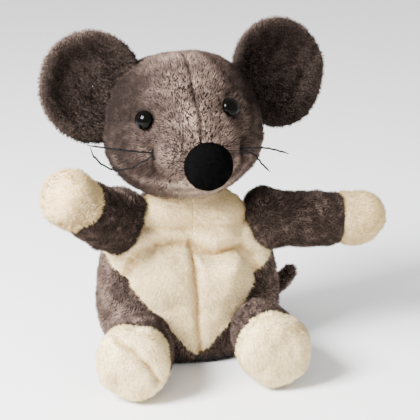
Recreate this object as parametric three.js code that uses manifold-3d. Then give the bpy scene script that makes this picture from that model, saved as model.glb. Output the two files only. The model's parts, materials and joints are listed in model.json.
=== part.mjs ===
// A full-body plush mouse hand puppet, seated, in millimetres.
// +Z is up, the puppet faces -Y, and +X is the puppet's own left.
// The origin is the centre of the flat seat panel's underside.
import * as THREE from "three";
import { mergeVertices } from "three/addons/utils/BufferGeometryUtils.js";
import Module from "manifold-3d";

const wasm = await Module();
wasm.setup();

// ---- Driving dimensions -------------------------------------------------

const PLUSH = 3; // plush fabric with its pile
const LINING = 1.2; // smooth lining fabric
const SEAM_GAP = 0.3; // between two pieces that touch
const FILL_GAP = 1; // between a skin and the stuffing in it
const JOINT_GAP = 1.2; // round a ball that turns

const TORSO_HEIGHT = 101;
const TORSO_HALF_WIDTH = 68; // at the hips
const TORSO_HALF_DEPTH = 48;
const BASE_THICKNESS = 4;
const BELLY_POINT_HEIGHT = 6; // where the two belly panels meet the crotch
const BELLY_SEAM_RISE = 76.16; // of the belly's lower edge, from the middle to the side of the hips
const BELLY_SEAM_SLOPE = BELLY_SEAM_RISE / TORSO_HALF_WIDTH;
const LINING_INSET = 14; // from the torso's outside to the hand bag
const HAND_HOLE = { halfWidth: 36, halfHeight: 23, height: 42 };
const BINDING_RADIUS = 2.2;

const NECK_RISE = 10; // from the torso's top to the middle of the neck ball
const NECK = new THREE.Vector3(0, -4, TORSO_HEIGHT + NECK_RISE);
const NECK_RADIUS = 20;
const NECK_BORE = 13;

const HEAD = { halfWidth: 57, halfDepth: 52, halfHeight: 57, jawHeight: 47 };
const HEAD_LIFT = 2; // from the neck ball's middle to the bottom of the jaw
// From the neck ball to the middle of the head, along the head.
const HEAD_CENTRE = new THREE.Vector3(-1.5, -12.4, HEAD.jawHeight + HEAD_LIFT);
const HEAD_YAW = 3.5;
const HEAD_PITCH = -10;
const HEAD_ROLL = -3;
const CROWN_TAPER = 0.1; // narrower crown, fuller cheeks
const CROWN_SQUARENESS = 0.7; // added to an ellipsoid's power of 2, for a flatter crown
const SNOUT_LENGTH = 13; // beyond the round of the head
const SNOUT_SPREAD = 33; // degrees
const SNOUT_AXIS = new THREE.Vector3(0, -72, -19).normalize();
const NOSE = { halfWidth: 16.3, halfHeight: 16.3, halfDepth: 12 };
const NOSE_SINK = 4; // how deep the nose sits in the snout
const NOSE_SHANK = 3;
const NOSE_WASHER = 8;
const NOSE_WASHER_DROP = 7; // the snout curves away from its washer
const CHIN = { halfWidth: 27, halfDepth: 34, halfHeight: 19, forward: 40, down: 40 };
const HEAD_POCKET_HEIGHT = 55; // finger room above the neck ball

const EYE_RADIUS = 6.5;
const EYE_HEIGHT = 4.6;
// The direction of each eye from the middle of the head.
const EYE_AT = {
  left: new THREE.Vector3(22.5, -44.5, 15.5),
  right: new THREE.Vector3(-34.5, -40.5, 13.5),
};
const EYE_SINK = 1.2;
const SHANK_RADIUS = 2;
const SHANK_LENGTH = 7;
const SHANK_ROOM = 2; // wadding kept clear round a shank's end
const WASHER_RADIUS = 7.5;
const WASHER_THICKNESS = 1.4;
const EYE_WASHER_DROP = 3; // the skin curves away, so the washer bears on it at its rim
const WHISKER_RADIUS = 0.45;
const WHISKER_SPREAD = 1; // above and below the point where a pair leaves the muzzle
// The direction from the middle of the head to the point where each pair leaves the muzzle.
const WHISKER_AT = {
  left: new THREE.Vector3(28, -50, -12),
  right: new THREE.Vector3(-32.5, -50, -9),
};

const EAR = { halfWidth: 37.5, halfHeight: 40, cup: 9, middle: 3, rim: 6.5, edge: 1.6 };
const EAR_RIM_START = 0.7; // share of the ear's radius where the soft rim begins
// From the middle of the head to the middle of each ear.
const EAR_AT = {
  left: new THREE.Vector3(HEAD.halfWidth + 16, 4, 34),
  right: new THREE.Vector3(-HEAD.halfWidth - 3, 4, 37),
};
const EAR_YAW = 12; // degrees outwards
const EAR_ROOT_GAP = 5; // the ear panels stop this far from the head

const SHOULDER = new THREE.Vector3(TORSO_HALF_WIDTH - 17, -14, TORSO_HEIGHT - 5);
const SHOULDER_RADIUS = 14;
const SHOULDER_BORE = 9.5;
const SLEEVE_LENGTH = 57; // shoulder to paw seam
const PAW_LENGTH = 35; // paw seam to tip
const ARM_RADIUS = 20;
const PAW_RADIUS = 20;
const FINGER_RADIUS = 10.8;
const FINGER_REACH = 4; // the finger pocket ends this far past the paw seam
const SLEEVE_START = 2; // from the shoulder's middle
const LINING_ARM_DROP = 12; // the lining's arm holes are this far below the shoulders
// Which way each arm points, and the degrees of forward swing and of raise that the torso leaves room for.
const ARMS = {
  left: { aim: new THREE.Vector3(50, 1, -2), swing: [-25, 0, 35], raise: [-35, 0, 20] },
  right: { aim: new THREE.Vector3(-37, -48, 37), swing: [-45, 0, 10], raise: [-60, 0, 5] },
};

const LEG_ROOT_RADIUS = 22;
const FOOT_RADIUS = 26;
const LEG_SLEEVE_LENGTH = 27; // hip to foot seam
const FOOT_UPPER_LENGTH = 14;
const SOLE_DEPTH = 15;
const FLOOR_GAP = 1; // the feet clear the floor by this much
const LEG_HEIGHT = FOOT_RADIUS + FLOOR_GAP;
const LEG_TURNS = [0, 20, 40]; // degrees of lift that the torso leaves room for
const HIPS = {
  left: {
    at: new THREE.Vector3(TORSO_HALF_WIDTH - 25, -TORSO_HALF_DEPTH - 1, LEG_HEIGHT),
    aim: new THREE.Vector3(3, -41, 0),
  },
  right: {
    at: new THREE.Vector3(28 - TORSO_HALF_WIDTH, -TORSO_HALF_DEPTH - 9, LEG_HEIGHT),
    aim: new THREE.Vector3(-14, -43, 0),
  },
};

const TAIL_RADIUS = 6.5;
const TAIL_WALL = 2;
const TAIL_ROOT_GAP = 3.513; // from the back to the start of the tail's middle line
const TAIL_LIFT = 1.5; // under the tail's root

// Facets round a shape.
const FACETS = { body: 20, hidden: 14, limb: 12, trim: 10, cut: 12, opening: 24, thread: 5 };

// ---- Fabrics and trims --------------------------------------------------

const fabric = (color) => new THREE.MeshStandardMaterial({ color, roughness: 0.95, metalness: 0 });
const greyPlush = fabric("#8a7c76");
const creamPlush = fabric("#e6d9bf");
const chinPlush = fabric("#a89b92");
const darkCloth = fabric("#4a4341");
const liningCloth = fabric("#7d736d");
const wadding = fabric("#f2f0ea");
const flock = fabric("#1d1a19");
const eyePlastic = new THREE.MeshStandardMaterial({ color: "#0c0a09", roughness: 0.08, metalness: 0 });
const washerPlastic = new THREE.MeshStandardMaterial({ color: "#e8e6e0", roughness: 0.5, metalness: 0 });
const thread = new THREE.MeshStandardMaterial({ color: "#141211", roughness: 0.6, metalness: 0 });

// ---- Solids and meshes --------------------------------------------------

function solidOf(geometry) {
  geometry.deleteAttribute("normal");
  geometry.deleteAttribute("uv");
  const merged = mergeVertices(geometry, 1e-3);
  const vertProperties = merged.attributes.position.array;
  const triVerts = new Uint32Array(merged.index.array);
  return new wasm.Manifold(new wasm.Mesh({ numProp: 3, vertProperties, triVerts }));
}

function geometryOf(solid) {
  const { vertProperties, triVerts } = solid.getMesh();
  return new THREE.BufferGeometry()
    .setAttribute("position", new THREE.BufferAttribute(vertProperties, 3))
    .setIndex(new THREE.BufferAttribute(triVerts, 1));
}

function addPart(group, name, solid, material) {
  const mesh = new THREE.Mesh(geometryOf(solid), material);
  mesh.name = name;
  group.add(mesh);
}

function moved(geometry, matrix) {
  return solidOf(geometry.applyMatrix4(matrix));
}

// Moves every vertex of a three.js geometry to where place(vertex) puts it.
function reshaped(geometry, place) {
  const position = geometry.attributes.position;
  const v = new THREE.Vector3();
  for (let i = 0; i < position.count; i++) {
    v.fromBufferAttribute(position, i);
    place(v);
    position.setXYZ(i, v.x, v.y, v.z);
  }
  return geometry;
}

const UP = new THREE.Vector3(0, 0, 1);
const atPoint = (p) => new THREE.Matrix4().makeTranslation(p.x, p.y, p.z);
const ball = (radius, at, sides = FACETS.cut) =>
  moved(new THREE.SphereGeometry(radius, sides, Math.round(sides * 0.6)), atPoint(at));
const block = (low, high) =>
  moved(
    new THREE.BoxGeometry(high[0] - low[0], high[1] - low[1], high[2] - low[2]),
    new THREE.Matrix4().makeTranslation(...low.map((v, i) => (v + high[i]) / 2)),
  );
const FAR = 300; // well outside the puppet
const PAST = 5; // how far a cutter runs past what it cuts
const halfSpace = {
  left: block([SEAM_GAP / 2, -FAR, -FAR], [FAR, FAR, FAR]),
  right: block([-FAR, -FAR, -FAR], [-SEAM_GAP / 2, FAR, FAR]),
};
const SIDES = ["left", "right"];
const signOf = { left: 1, right: -1 };

// A lathe about local +Y, from [radius, height] points that start and end on the axis or close on
// themselves.
function lathe(points, sides = FACETS.limb) {
  const profile = points.map(([r, h]) => new THREE.Vector2(Math.max(r, 0), h));
  return new THREE.LatheGeometry(profile, sides);
}

// Turns local +Y to the aim and moves the origin to a point.
function aimed(at, aim) {
  const turn = new THREE.Quaternion().setFromUnitVectors(
    new THREE.Vector3(0, 1, 0),
    aim.clone().normalize(),
  );
  return new THREE.Matrix4().compose(at, turn, new THREE.Vector3(1, 1, 1));
}

// A ball with a straight bore along local +Y.
function boredBall(radius, bore) {
  const end = Math.asin(bore / radius);
  const steps = 5;
  const points = [];
  for (let i = 0; i <= steps; i++) {
    const angle = end + ((Math.PI - 2 * end) * i) / steps;
    points.push([radius * Math.sin(angle), -radius * Math.cos(angle)]);
  }
  points.push(points[0]);
  return lathe(points, FACETS.limb);
}

// Smooth interpolation through stations [at, value, value, ...].
function smoothAt(stations, at) {
  const last = stations.length - 1;
  const clamped = Math.min(Math.max(at, stations[0][0]), stations[last][0]);
  const i = Math.min(stations.findIndex((s, n) => n === last || stations[n + 1][0] >= clamped), last - 1);
  const station = (n) => stations[Math.min(Math.max(n, 0), last)];
  const [before, from, to, after] = [i - 1, i, i + 1, i + 2].map(station);
  const span = to[0] - from[0];
  const t = (clamped - from[0]) / span;
  return from.slice(1).map((value, k) => {
    const startSlope = ((to[k + 1] - before[k + 1]) / (to[0] - before[0])) * span;
    const endSlope = ((after[k + 1] - value) / (after[0] - from[0])) * span;
    const rise = 3 * t * t - 2 * t * t * t;
    const startPart = (t * t * t - 2 * t * t + t) * startSlope;
    return value + (to[k + 1] - value) * rise + startPart + (t * t * t - t * t) * endSlope;
  });
}

// A panel's main body, without the scraps that a cut leaves past its edge.
function trimmed(solid) {
  return solid.decompose().reduce((most, body) => (body.volume() > most.volume() ? body : most));
}

// ---- Torso --------------------------------------------------------------

// Shares of the torso's height, half width and half depth.
const TORSO_STATIONS = [
  [0, 0.78, 0.84],
  [0.07, 0.88, 0.93],
  [0.2, 0.97, 1],
  [0.4, 1, 1],
  [0.6, 0.97, 0.98],
  [0.76, 0.91, 0.9],
  [0.9, 0.77, 0.76],
  [1, 0.54, 0.54],
];

function torsoHalves(height, inset) {
  const [width, depth] = smoothAt(TORSO_STATIONS, height / TORSO_HEIGHT);
  return [width * TORSO_HALF_WIDTH - inset, depth * TORSO_HALF_DEPTH - inset];
}

// The torso's shape between two heights, set inwards by inset. Below and above it runs on straight.
function torsoForm(low, high, inset, levels = 9, sides = FACETS.body) {
  const points = [[0, low]];
  for (let i = 0; i < levels; i++) points.push([1, low + ((high - low) * i) / (levels - 1)]);
  points.push([0, high]);
  const form = reshaped(lathe(points, sides), (v) => {
    const [halfWidth, halfDepth] = torsoHalves(v.y, inset);
    v.set(v.x * halfWidth, -v.z * halfDepth, v.y);
  });
  return solidOf(form);
}

function torsoBackY(x, height, inset) {
  const [halfWidth, halfDepth] = torsoHalves(height, inset);
  return halfDepth * Math.sqrt(Math.max(1 - (x / halfWidth) ** 2, 0));
}

// An oval hole through the back, widened by grow.
function handHoleCutter(grow) {
  const length = 2 * TORSO_HALF_DEPTH; // centred on the back, so it stays clear of the front
  const hole = new THREE.CylinderGeometry(1, 1, length, FACETS.opening);
  const matrix = new THREE.Matrix4().makeTranslation(0, TORSO_HALF_DEPTH, HAND_HOLE.height);
  matrix.scale(new THREE.Vector3(HAND_HOLE.halfWidth + grow, 1, HAND_HOLE.halfHeight + grow));
  return moved(hole, matrix);
}

// The part of the front that the cream belly covers, grown by grow.
function bellyRegion(grow) {
  const outline = new THREE.Shape();
  const rise = BELLY_SEAM_SLOPE * FAR;
  const drop = grow * Math.hypot(1, BELLY_SEAM_SLOPE);
  outline.moveTo(0, BELLY_POINT_HEIGHT - drop);
  outline.lineTo(FAR, BELLY_POINT_HEIGHT - drop + rise);
  outline.lineTo(FAR, 2 * FAR);
  outline.lineTo(-FAR, 2 * FAR);
  outline.lineTo(-FAR, BELLY_POINT_HEIGHT - drop + rise);
  const form = new THREE.ExtrudeGeometry(outline, { depth: FAR, bevelEnabled: false });
  return moved(form, new THREE.Matrix4().makeRotationX(Math.PI / 2).setPosition(0, grow, 0));
}

// Binding tape round the hand hole, on the curve of the back.
function handHoleBinding() {
  const unit = 0.1;
  const ring = reshaped(new THREE.TorusGeometry(1, unit, 6, FACETS.opening), (v) => {
    const turn = Math.atan2(v.y, v.x);
    const out = ((Math.hypot(v.x, v.y) - 1) / unit) * BINDING_RADIUS;
    const x = (HAND_HOLE.halfWidth + out) * Math.cos(turn);
    const z = HAND_HOLE.height + (HAND_HOLE.halfHeight + out) * Math.sin(turn);
    v.set(x, torsoBackY(x, z, PLUSH / 2) - (v.z / unit) * BINDING_RADIUS, z);
  });
  return solidOf(ring);
}

function buildTorso(group, limbRoom) {
  const outer = torsoForm(0, TORSO_HEIGHT, 0);
  const seatTop = BASE_THICKNESS + SEAM_GAP;
  const wall = outer
    .subtract(torsoForm(-PAST, TORSO_HEIGHT + PAST, PLUSH))
    .intersect(block([-FAR, -FAR, seatTop], [FAR, FAR, FAR]))
    .subtract(handHoleCutter(BINDING_RADIUS + SEAM_GAP))
    .subtract(limbRoom);
  const front = block([-FAR, -FAR, -FAR], [FAR, -SEAM_GAP / 2, FAR]);
  const back = block([-FAR, SEAM_GAP / 2, -FAR], [FAR, FAR, FAR]);
  const belly = wall.intersect(bellyRegion(-SEAM_GAP / 2)).intersect(front);
  const hips = wall.intersect(front).subtract(bellyRegion(SEAM_GAP / 2));
  for (const side of SIDES) {
    const panel = (form) => trimmed(form.intersect(halfSpace[side]));
    addPart(group, `belly_panel_${side}`, panel(belly), creamPlush);
    addPart(group, `hip_panel_${side}`, panel(hips), greyPlush);
    addPart(group, `back_panel_${side}`, panel(wall.intersect(back)), greyPlush);
  }
  const seat = outer.intersect(block([-FAR, -FAR, -FAR], [FAR, FAR, BASE_THICKNESS]));
  addPart(group, "base_panel", seat.subtract(limbRoom), darkCloth);
  addPart(group, "hand_opening_binding", handHoleBinding(), darkCloth);
  addPart(group, "body_lining", trimmed(bodyLining().subtract(limbRoom)), liningCloth);
}

// The bag that the hand goes into: open at the neck and the back, with a hole to each arm.
function bodyLining() {
  const floor = BASE_THICKNESS + SEAM_GAP + LINING;
  const bag = torsoForm(floor, TORSO_HEIGHT - PLUSH, LINING_INSET, 6, FACETS.limb);
  const room = torsoForm(floor + LINING, TORSO_HEIGHT + PAST, LINING_INSET + LINING, 6, FACETS.limb);
  const armHole = new THREE.CylinderGeometry(FINGER_RADIUS, FINGER_RADIUS, 4 * SHOULDER.x, FACETS.trim);
  const sideways = new THREE.Matrix4().makeRotationZ(Math.PI / 2);
  sideways.setPosition(0, SHOULDER.y, SHOULDER.z - LINING_ARM_DROP);
  const throat = ball(NECK_RADIUS + JOINT_GAP, NECK);
  return bag
    .subtract(room)
    .subtract(moved(armHole, sideways))
    .subtract(handHoleCutter(-1))
    .subtract(throat);
}

// ---- Arms ---------------------------------------------------------------

// The arm's outer radius at a distance from the shoulder.
function armRadius(along) {
  const end = SLEEVE_LENGTH + PAW_LENGTH;
  const round = end - PAW_RADIUS;
  if (along >= round) return Math.sqrt(Math.max(PAW_RADIUS ** 2 - (along - round) ** 2, 0));
  const share = Math.max(along, 0) / round;
  return ARM_RADIUS + (PAW_RADIUS - ARM_RADIUS) * share * share;
}

// Points along the outside from one distance to another, set inwards by inset.
function armOutline(from, to, inset, steps) {
  const points = [];
  for (let i = 0; i <= steps; i++) {
    const along = from + ((to - from) * i) / steps;
    points.push([armRadius(along) - inset, along]);
  }
  return points;
}

// A round end: like armOutline, with the points closer together towards the tip.
function pawOutline(from, inset, steps) {
  const tip = SLEEVE_LENGTH + PAW_LENGTH;
  const centre = tip - PAW_RADIUS;
  const radius = PAW_RADIUS - inset;
  const points = [[armRadius(from) - inset, from]];
  for (let i = 0; i <= steps; i++) {
    const angle = (Math.PI / 2) * (i / steps);
    points.push([radius * Math.cos(angle), centre + radius * Math.sin(angle)]);
  }
  return points;
}

function limbGroup(at, aim) {
  const limb = new THREE.Group();
  aimed(at, aim).decompose(limb.position, limb.quaternion, limb.scale);
  return limb;
}

function buildArm(root, side, at, aim) {
  const arm = limbGroup(at, aim);
  const recess = ball(SHOULDER_RADIUS + JOINT_GAP, new THREE.Vector3());
  const start = SLEEVE_START;
  const seam = SLEEVE_LENGTH;
  const pocketEnd = seam + FINGER_REACH;
  const pocketRadius = FINGER_RADIUS + LINING;
  const inside = PLUSH + FILL_GAP;

  const sleeve = armOutline(start, seam - SEAM_GAP / 2, 0, 3);
  sleeve.push(...armOutline(start, seam - SEAM_GAP / 2, PLUSH, 3).reverse(), sleeve[0]);
  addPart(arm, `${side}_arm_sleeve`, solidOf(lathe(sleeve)).subtract(recess), greyPlush);

  const pawStart = seam + SEAM_GAP / 2;
  const paw = pawOutline(pawStart, 0, 5).reverse();
  paw.push(...pawOutline(pawStart, PLUSH, 4));
  addPart(arm, `${side}_paw_cover`, solidOf(lathe(paw.reverse())), creamPlush);

  const filling = [
    [0, pocketEnd + LINING + SEAM_GAP],
    [pocketRadius + SEAM_GAP, pocketEnd + LINING + SEAM_GAP],
    [pocketRadius + SEAM_GAP, start],
    ...armOutline(start, seam - FILL_GAP, inside, 2),
    ...pawOutline(seam, inside, 3),
  ];
  addPart(arm, `${side}_arm_stuffing`, solidOf(lathe(filling)).subtract(recess), wadding);

  const pocket = [
    [0, pocketEnd],
    [FINGER_RADIUS, pocketEnd],
    [FINGER_RADIUS, start],
    [pocketRadius, start],
    [pocketRadius, pocketEnd + LINING],
    [0, pocketEnd + LINING],
  ];
  addPart(arm, `${side}_arm_finger_pocket`, solidOf(lathe(pocket)).subtract(recess), liningCloth);
  root.add(arm);

  const gusset = boredBall(SHOULDER_RADIUS, SHOULDER_BORE);
  const outwards = new THREE.Vector3(Math.sign(at.x), 0, 0);
  addPart(root, `${side}_shoulder_gusset`, moved(gusset, aimed(at, outwards)), greyPlush);
}

// The space that an arm sweeps near the torso.
function armRoom(at, aim, turns) {
  let room = ball(SHOULDER_RADIUS + JOINT_GAP, at);
  const cover = armOutline(0, SLEEVE_LENGTH, -JOINT_GAP, 1);
  const points = [[0, 0], ...cover, [0, SLEEVE_LENGTH]];
  const raiseAxis = aim.clone().cross(UP).normalize();
  const swingAxis = new THREE.Vector3(0, 0, -Math.sign(at.x));
  for (const swing of turns.swing)
    for (const raise of turns.raise) {
      const turned = aim.clone().normalize();
      turned.applyAxisAngle(raiseAxis, THREE.MathUtils.degToRad(raise));
      turned.applyAxisAngle(swingAxis, THREE.MathUtils.degToRad(swing));
      room = room.add(moved(lathe(points, FACETS.trim), aimed(at, turned)));
    }
  return room;
}

// ---- Legs ---------------------------------------------------------------

const FOOT_SEAM = LEG_SLEEVE_LENGTH;
const SOLE_SEAM = FOOT_SEAM + FOOT_UPPER_LENGTH;

// The leg's outside from the round root to a distance from the hip, set inwards by inset.
function legOutline(to, inset, rootSteps = 4) {
  const radius = LEG_ROOT_RADIUS - inset;
  const points = [];
  for (let i = 0; i < rootSteps; i++) {
    const angle = (Math.PI / 2) * (i / rootSteps);
    points.push([radius * Math.sin(angle), -radius * Math.cos(angle)]);
  }
  for (const share of [0, 0.5, 1]) points.push([legRadius(to * share) - inset, to * share]);
  return points;
}

function legRadius(along) {
  const share = Math.min(Math.max(along / SOLE_SEAM, 0), 1);
  return LEG_ROOT_RADIUS + (FOOT_RADIUS - LEG_ROOT_RADIUS) * Math.sin((Math.PI / 2) * share);
}

// The sole's round end, set inwards by inset.
function soleOutline(from, inset, steps) {
  const points = [];
  for (let i = 0; i <= steps; i++) {
    const angle = (Math.PI / 2) * (i / steps);
    const out = Math.cos(angle) ** 0.8 * (FOOT_RADIUS - inset);
    points.push([out, from + Math.sin(angle) * (SOLE_DEPTH - inset)]);
  }
  return points;
}

function buildLeg(root, side, at, aim) {
  const leg = limbGroup(at, aim);
  const sleeveEnd = FOOT_SEAM - SEAM_GAP / 2;
  const sleeve = legOutline(sleeveEnd, 0);
  sleeve.push(...legOutline(sleeveEnd, PLUSH).reverse());
  addPart(leg, `${side}_leg_sleeve`, solidOf(lathe(sleeve)), greyPlush);

  const upperEnds = [FOOT_SEAM + SEAM_GAP / 2, FOOT_SEAM + FOOT_UPPER_LENGTH / 2, SOLE_SEAM - SEAM_GAP / 2];
  const upper = upperEnds.map((along) => [legRadius(along), along]);
  upper.push(...upperEnds.map((along) => [legRadius(along) - PLUSH, along]).reverse(), upper[0]);
  addPart(leg, `${side}_foot_upper`, solidOf(lathe(upper)), creamPlush);

  const sole = soleOutline(SOLE_SEAM + SEAM_GAP / 2, PLUSH, 4).reverse();
  sole.push(...soleOutline(SOLE_SEAM + SEAM_GAP / 2, 0, 5));
  addPart(leg, `${side}_foot_sole`, solidOf(lathe(sole)), creamPlush);

  const inside = PLUSH + FILL_GAP;
  const filling = [...legOutline(SOLE_SEAM - 1, inside, 3), ...soleOutline(SOLE_SEAM, inside, 3)];
  addPart(leg, `${side}_leg_stuffing`, solidOf(lathe(filling)), wadding);
  root.add(leg);
}

// The space that a leg sweeps near the torso.
function legRoom(at, aim) {
  let room = ball(LEG_ROOT_RADIUS + JOINT_GAP, at);
  for (const lift of LEG_TURNS) {
    const turned = aim.clone().normalize();
    turned.applyAxisAngle(new THREE.Vector3(-1, 0, 0), THREE.MathUtils.degToRad(lift));
    const points = [...legOutline(SOLE_SEAM, -JOINT_GAP, 3), [0, SOLE_SEAM]];
    room = room.add(moved(lathe(points, FACETS.trim), aimed(at, turned)));
  }
  return room;
}

// ---- Tail ---------------------------------------------------------------

const TAIL_HEIGHT = TAIL_RADIUS + TAIL_LIFT;
const TAIL_ROOT = new THREE.Vector3(0, torsoBackY(0, TAIL_HEIGHT, 0) + TAIL_ROOT_GAP, TAIL_HEIGHT);

const TAIL_PATH = new THREE.CatmullRomCurve3([
  new THREE.Vector3(0, 0, 0),
  new THREE.Vector3(6, 11.5, -0.5),
  new THREE.Vector3(28, 19.5, -0.5),
  new THREE.Vector3(56, 15.5, 3),
  new THREE.Vector3(77, 2.5, 14),
  new THREE.Vector3(87, -10.5, 32),
].map((point) => point.add(TAIL_ROOT)));

// A tube of changing radius along a path, with closed ends.
function sweep(path, radiusAt, sides, steps) {
  const frames = path.computeFrenetFrames(steps);
  return solidOf(
    reshaped(new THREE.CylinderGeometry(1, 1, 1, sides, steps), (v) => {
      const share = 0.5 - v.y;
      const i = Math.round(share * steps);
      const radius = radiusAt(share);
      const centre = path.getPointAt(share);
      const across = frames.normals[i].clone().multiplyScalar(v.x * radius);
      const over = frames.binormals[i].clone().multiplyScalar(v.z * radius);
      v.copy(centre).add(across).add(over);
    }),
  );
}

function buildTail(root) {
  const taper = (radius) => (share) => radius * Math.sqrt(Math.max(1 - share ** 6, 0.04));
  const tail = sweep(TAIL_PATH, taper(TAIL_RADIUS), 8, 14);
  const hollow = sweep(shortened(TAIL_PATH, -0.06, 0.97), taper(TAIL_RADIUS - TAIL_WALL), 8, 14);
  const filling = sweep(shortened(TAIL_PATH, 0.02, 0.86), taper(TAIL_RADIUS - TAIL_WALL - FILL_GAP), 6, 12);
  addPart(root, "tail_skin", tail.subtract(hollow), greyPlush);
  addPart(root, "tail_stuffing", filling, wadding);
}

// The stretch of a path between two shares of its length. Below 0 it runs on straight.
function shortened(path, from, to) {
  const points = [];
  for (let i = 0; i <= 8; i++) {
    const share = from + ((to - from) * i) / 8;
    const point = path.getPointAt(Math.max(share, 0));
    if (share < 0) point.addScaledVector(path.getTangentAt(0), share * path.getLength());
    points.push(point);
  }
  return new THREE.CatmullRomCurve3(points);
}

// ---- Head ---------------------------------------------------------------

// The head's outer surface in a direction from its centre, set inwards by inset.
function headPoint(direction, inset) {
  const d = direction.clone().normalize();
  const height = d.z > 0 ? HEAD.halfHeight : HEAD.jawHeight;
  const power = 2 + CROWN_SQUARENESS * Math.max(d.z, 0);
  const shares = [d.x / HEAD.halfWidth, d.y / HEAD.halfDepth, d.z / height];
  const round = shares.reduce((sum, share) => sum + Math.abs(share) ** power, 0) ** (-1 / power);
  const angle = THREE.MathUtils.radToDeg(d.angleTo(SNOUT_AXIS));
  const snout = SNOUT_LENGTH * Math.exp(-((angle / SNOUT_SPREAD) ** 2));
  const point = d.multiplyScalar(round + snout - inset);
  point.x *= 1 - (CROWN_TAPER * point.z) / HEAD.halfHeight;
  return point;
}

function headForm(inset, sides = FACETS.body) {
  const form = new THREE.SphereGeometry(1, sides, Math.round(sides * 0.65));
  form.rotateX(Math.PI / 2);
  return solidOf(reshaped(form, (v) => v.copy(headPoint(v, inset))));
}

function headNormal(direction) {
  const side = new THREE.Vector3(0, 0, 1).cross(direction).normalize();
  const up = direction.clone().cross(side).normalize();
  const step = 0.02;
  const at = (vector, amount) => headPoint(direction.clone().normalize().addScaledVector(vector, amount), 0);
  const across = at(side, step).sub(at(side, -step));
  const upwards = at(up, step).sub(at(up, -step));
  const normal = across.cross(upwards).normalize();
  return normal.dot(direction) < 0 ? normal.negate() : normal;
}

const mirrored = (vector, side) => new THREE.Vector3(vector.x * signOf[side], vector.y, vector.z);

// A snap-in trim: a domed cap on a shank, for eyes and nose, with its base at local height 0.
function shankProfile(capOutline, shankRadius) {
  const tail = -PLUSH - SHANK_LENGTH;
  return [[0, tail], [shankRadius, tail], [shankRadius, 0], ...capOutline];
}

function domeOutline(radius, height, steps) {
  const points = [];
  for (let i = 0; i <= steps; i++) {
    const angle = (Math.PI / 2) * (i / steps);
    points.push([radius * Math.cos(angle), height * Math.sin(angle)]);
  }
  return points;
}

function ringAt(inner, outer, low, high) {
  return lathe([[inner, low], [outer, low], [outer, high], [inner, high], [inner, low]], FACETS.trim);
}

// Adds an eye and its washer, and returns what they take out of the skin and the stuffing.
function buildEye(head, side) {
  const direction = EYE_AT[side];
  const normal = headNormal(direction);
  const at = headPoint(direction, 0).addScaledVector(normal, -EYE_SINK);
  const place = aimed(at, normal);
  const eye = lathe(shankProfile(domeOutline(EYE_RADIUS, EYE_HEIGHT, 4), SHANK_RADIUS), FACETS.limb);
  addPart(head, `${side}_eye`, moved(eye, place), eyePlastic);
  const under = -PLUSH + EYE_SINK - EYE_WASHER_DROP;
  const washer = ringAt(SHANK_RADIUS + SEAM_GAP, WASHER_RADIUS, under - WASHER_THICKNESS, under);
  addPart(head, `${side}_eye_washer`, moved(washer, place), washerPlastic);
  const seatRadius = EYE_RADIUS + SEAM_GAP;
  const seat = [[0, -SEAM_GAP], [seatRadius, -SEAM_GAP], [seatRadius, PAST], [0, PAST]];
  const dimple = moved(lathe(seat, FACETS.limb), place);
  const stuffing = washerRoom(place, under, WASHER_RADIUS, SHANK_RADIUS, -PLUSH - SHANK_LENGTH);
  return { skin: dimple.add(shankHole(place)), stuffing };
}

function shankHole(place, radius = SHANK_RADIUS) {
  const deep = -4 * PAST;
  const hole = [[0, deep], [radius + SEAM_GAP, deep], [radius + SEAM_GAP, 0], [0, 0]];
  return moved(lathe(hole, FACETS.trim), place);
}

// Room in the stuffing for a washer under the skin and for the shank's end, open to the skin.
function washerRoom(place, under, washer, shank, shankEnd) {
  const wide = washer + SEAM_GAP;
  const narrow = shank + SHANK_ROOM;
  const low = under - WASHER_THICKNESS - SEAM_GAP;
  const deep = shankEnd - FILL_GAP;
  const room = [[0, deep], [narrow, deep], [narrow, low], [wide, low], [wide, PAST], [0, PAST]];
  return moved(lathe(room, FACETS.trim), place);
}

function buildNose(head) {
  const tip = headPoint(SNOUT_AXIS, 0);
  const centre = tip.clone().addScaledVector(SNOUT_AXIS, NOSE.halfDepth - NOSE_SINK);
  const nose = (grow) => {
    const form = new THREE.SphereGeometry(1, 18, 12);
    form.scale(NOSE.halfWidth + grow, NOSE.halfDepth + grow, NOSE.halfHeight + grow);
    form.applyMatrix4(aimed(centre, SNOUT_AXIS.clone().negate()));
    return solidOf(form);
  };
  const place = aimed(tip, SNOUT_AXIS);
  const tail = -PLUSH - SHANK_LENGTH - NOSE_WASHER_DROP;
  const shank = lathe([[0, tail], [NOSE_SHANK, tail], [NOSE_SHANK, 0], [0, 0]], FACETS.trim);
  addPart(head, "nose", nose(0).add(moved(shank, place)), flock);
  const under = -PLUSH - NOSE_WASHER_DROP;
  const washer = ringAt(NOSE_SHANK + SEAM_GAP, NOSE_WASHER, under - WASHER_THICKNESS, under);
  addPart(head, "nose_washer", moved(washer, place), washerPlastic);
  const stuffing = washerRoom(place, under, NOSE_WASHER, NOSE_SHANK, tail);
  return { skin: nose(SEAM_GAP).add(shankHole(place, NOSE_SHANK)), stuffing };
}

// Each whisker's further points, measured from where it leaves the muzzle: outwards, back and up.
const WHISKERS = {
  left_upper: [[15, 1, -1.5], [32, 5, -7.5]],
  left_lower: [[7, 0.5, -3], [12, 2, -10], [18, 5, -16]],
  right_upper: [[19, 1, 4], [41, 7, 9]],
  right_lower: [[17, 2, -7], [30, 5, -5], [37.5, 7, 3]],
};

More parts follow.
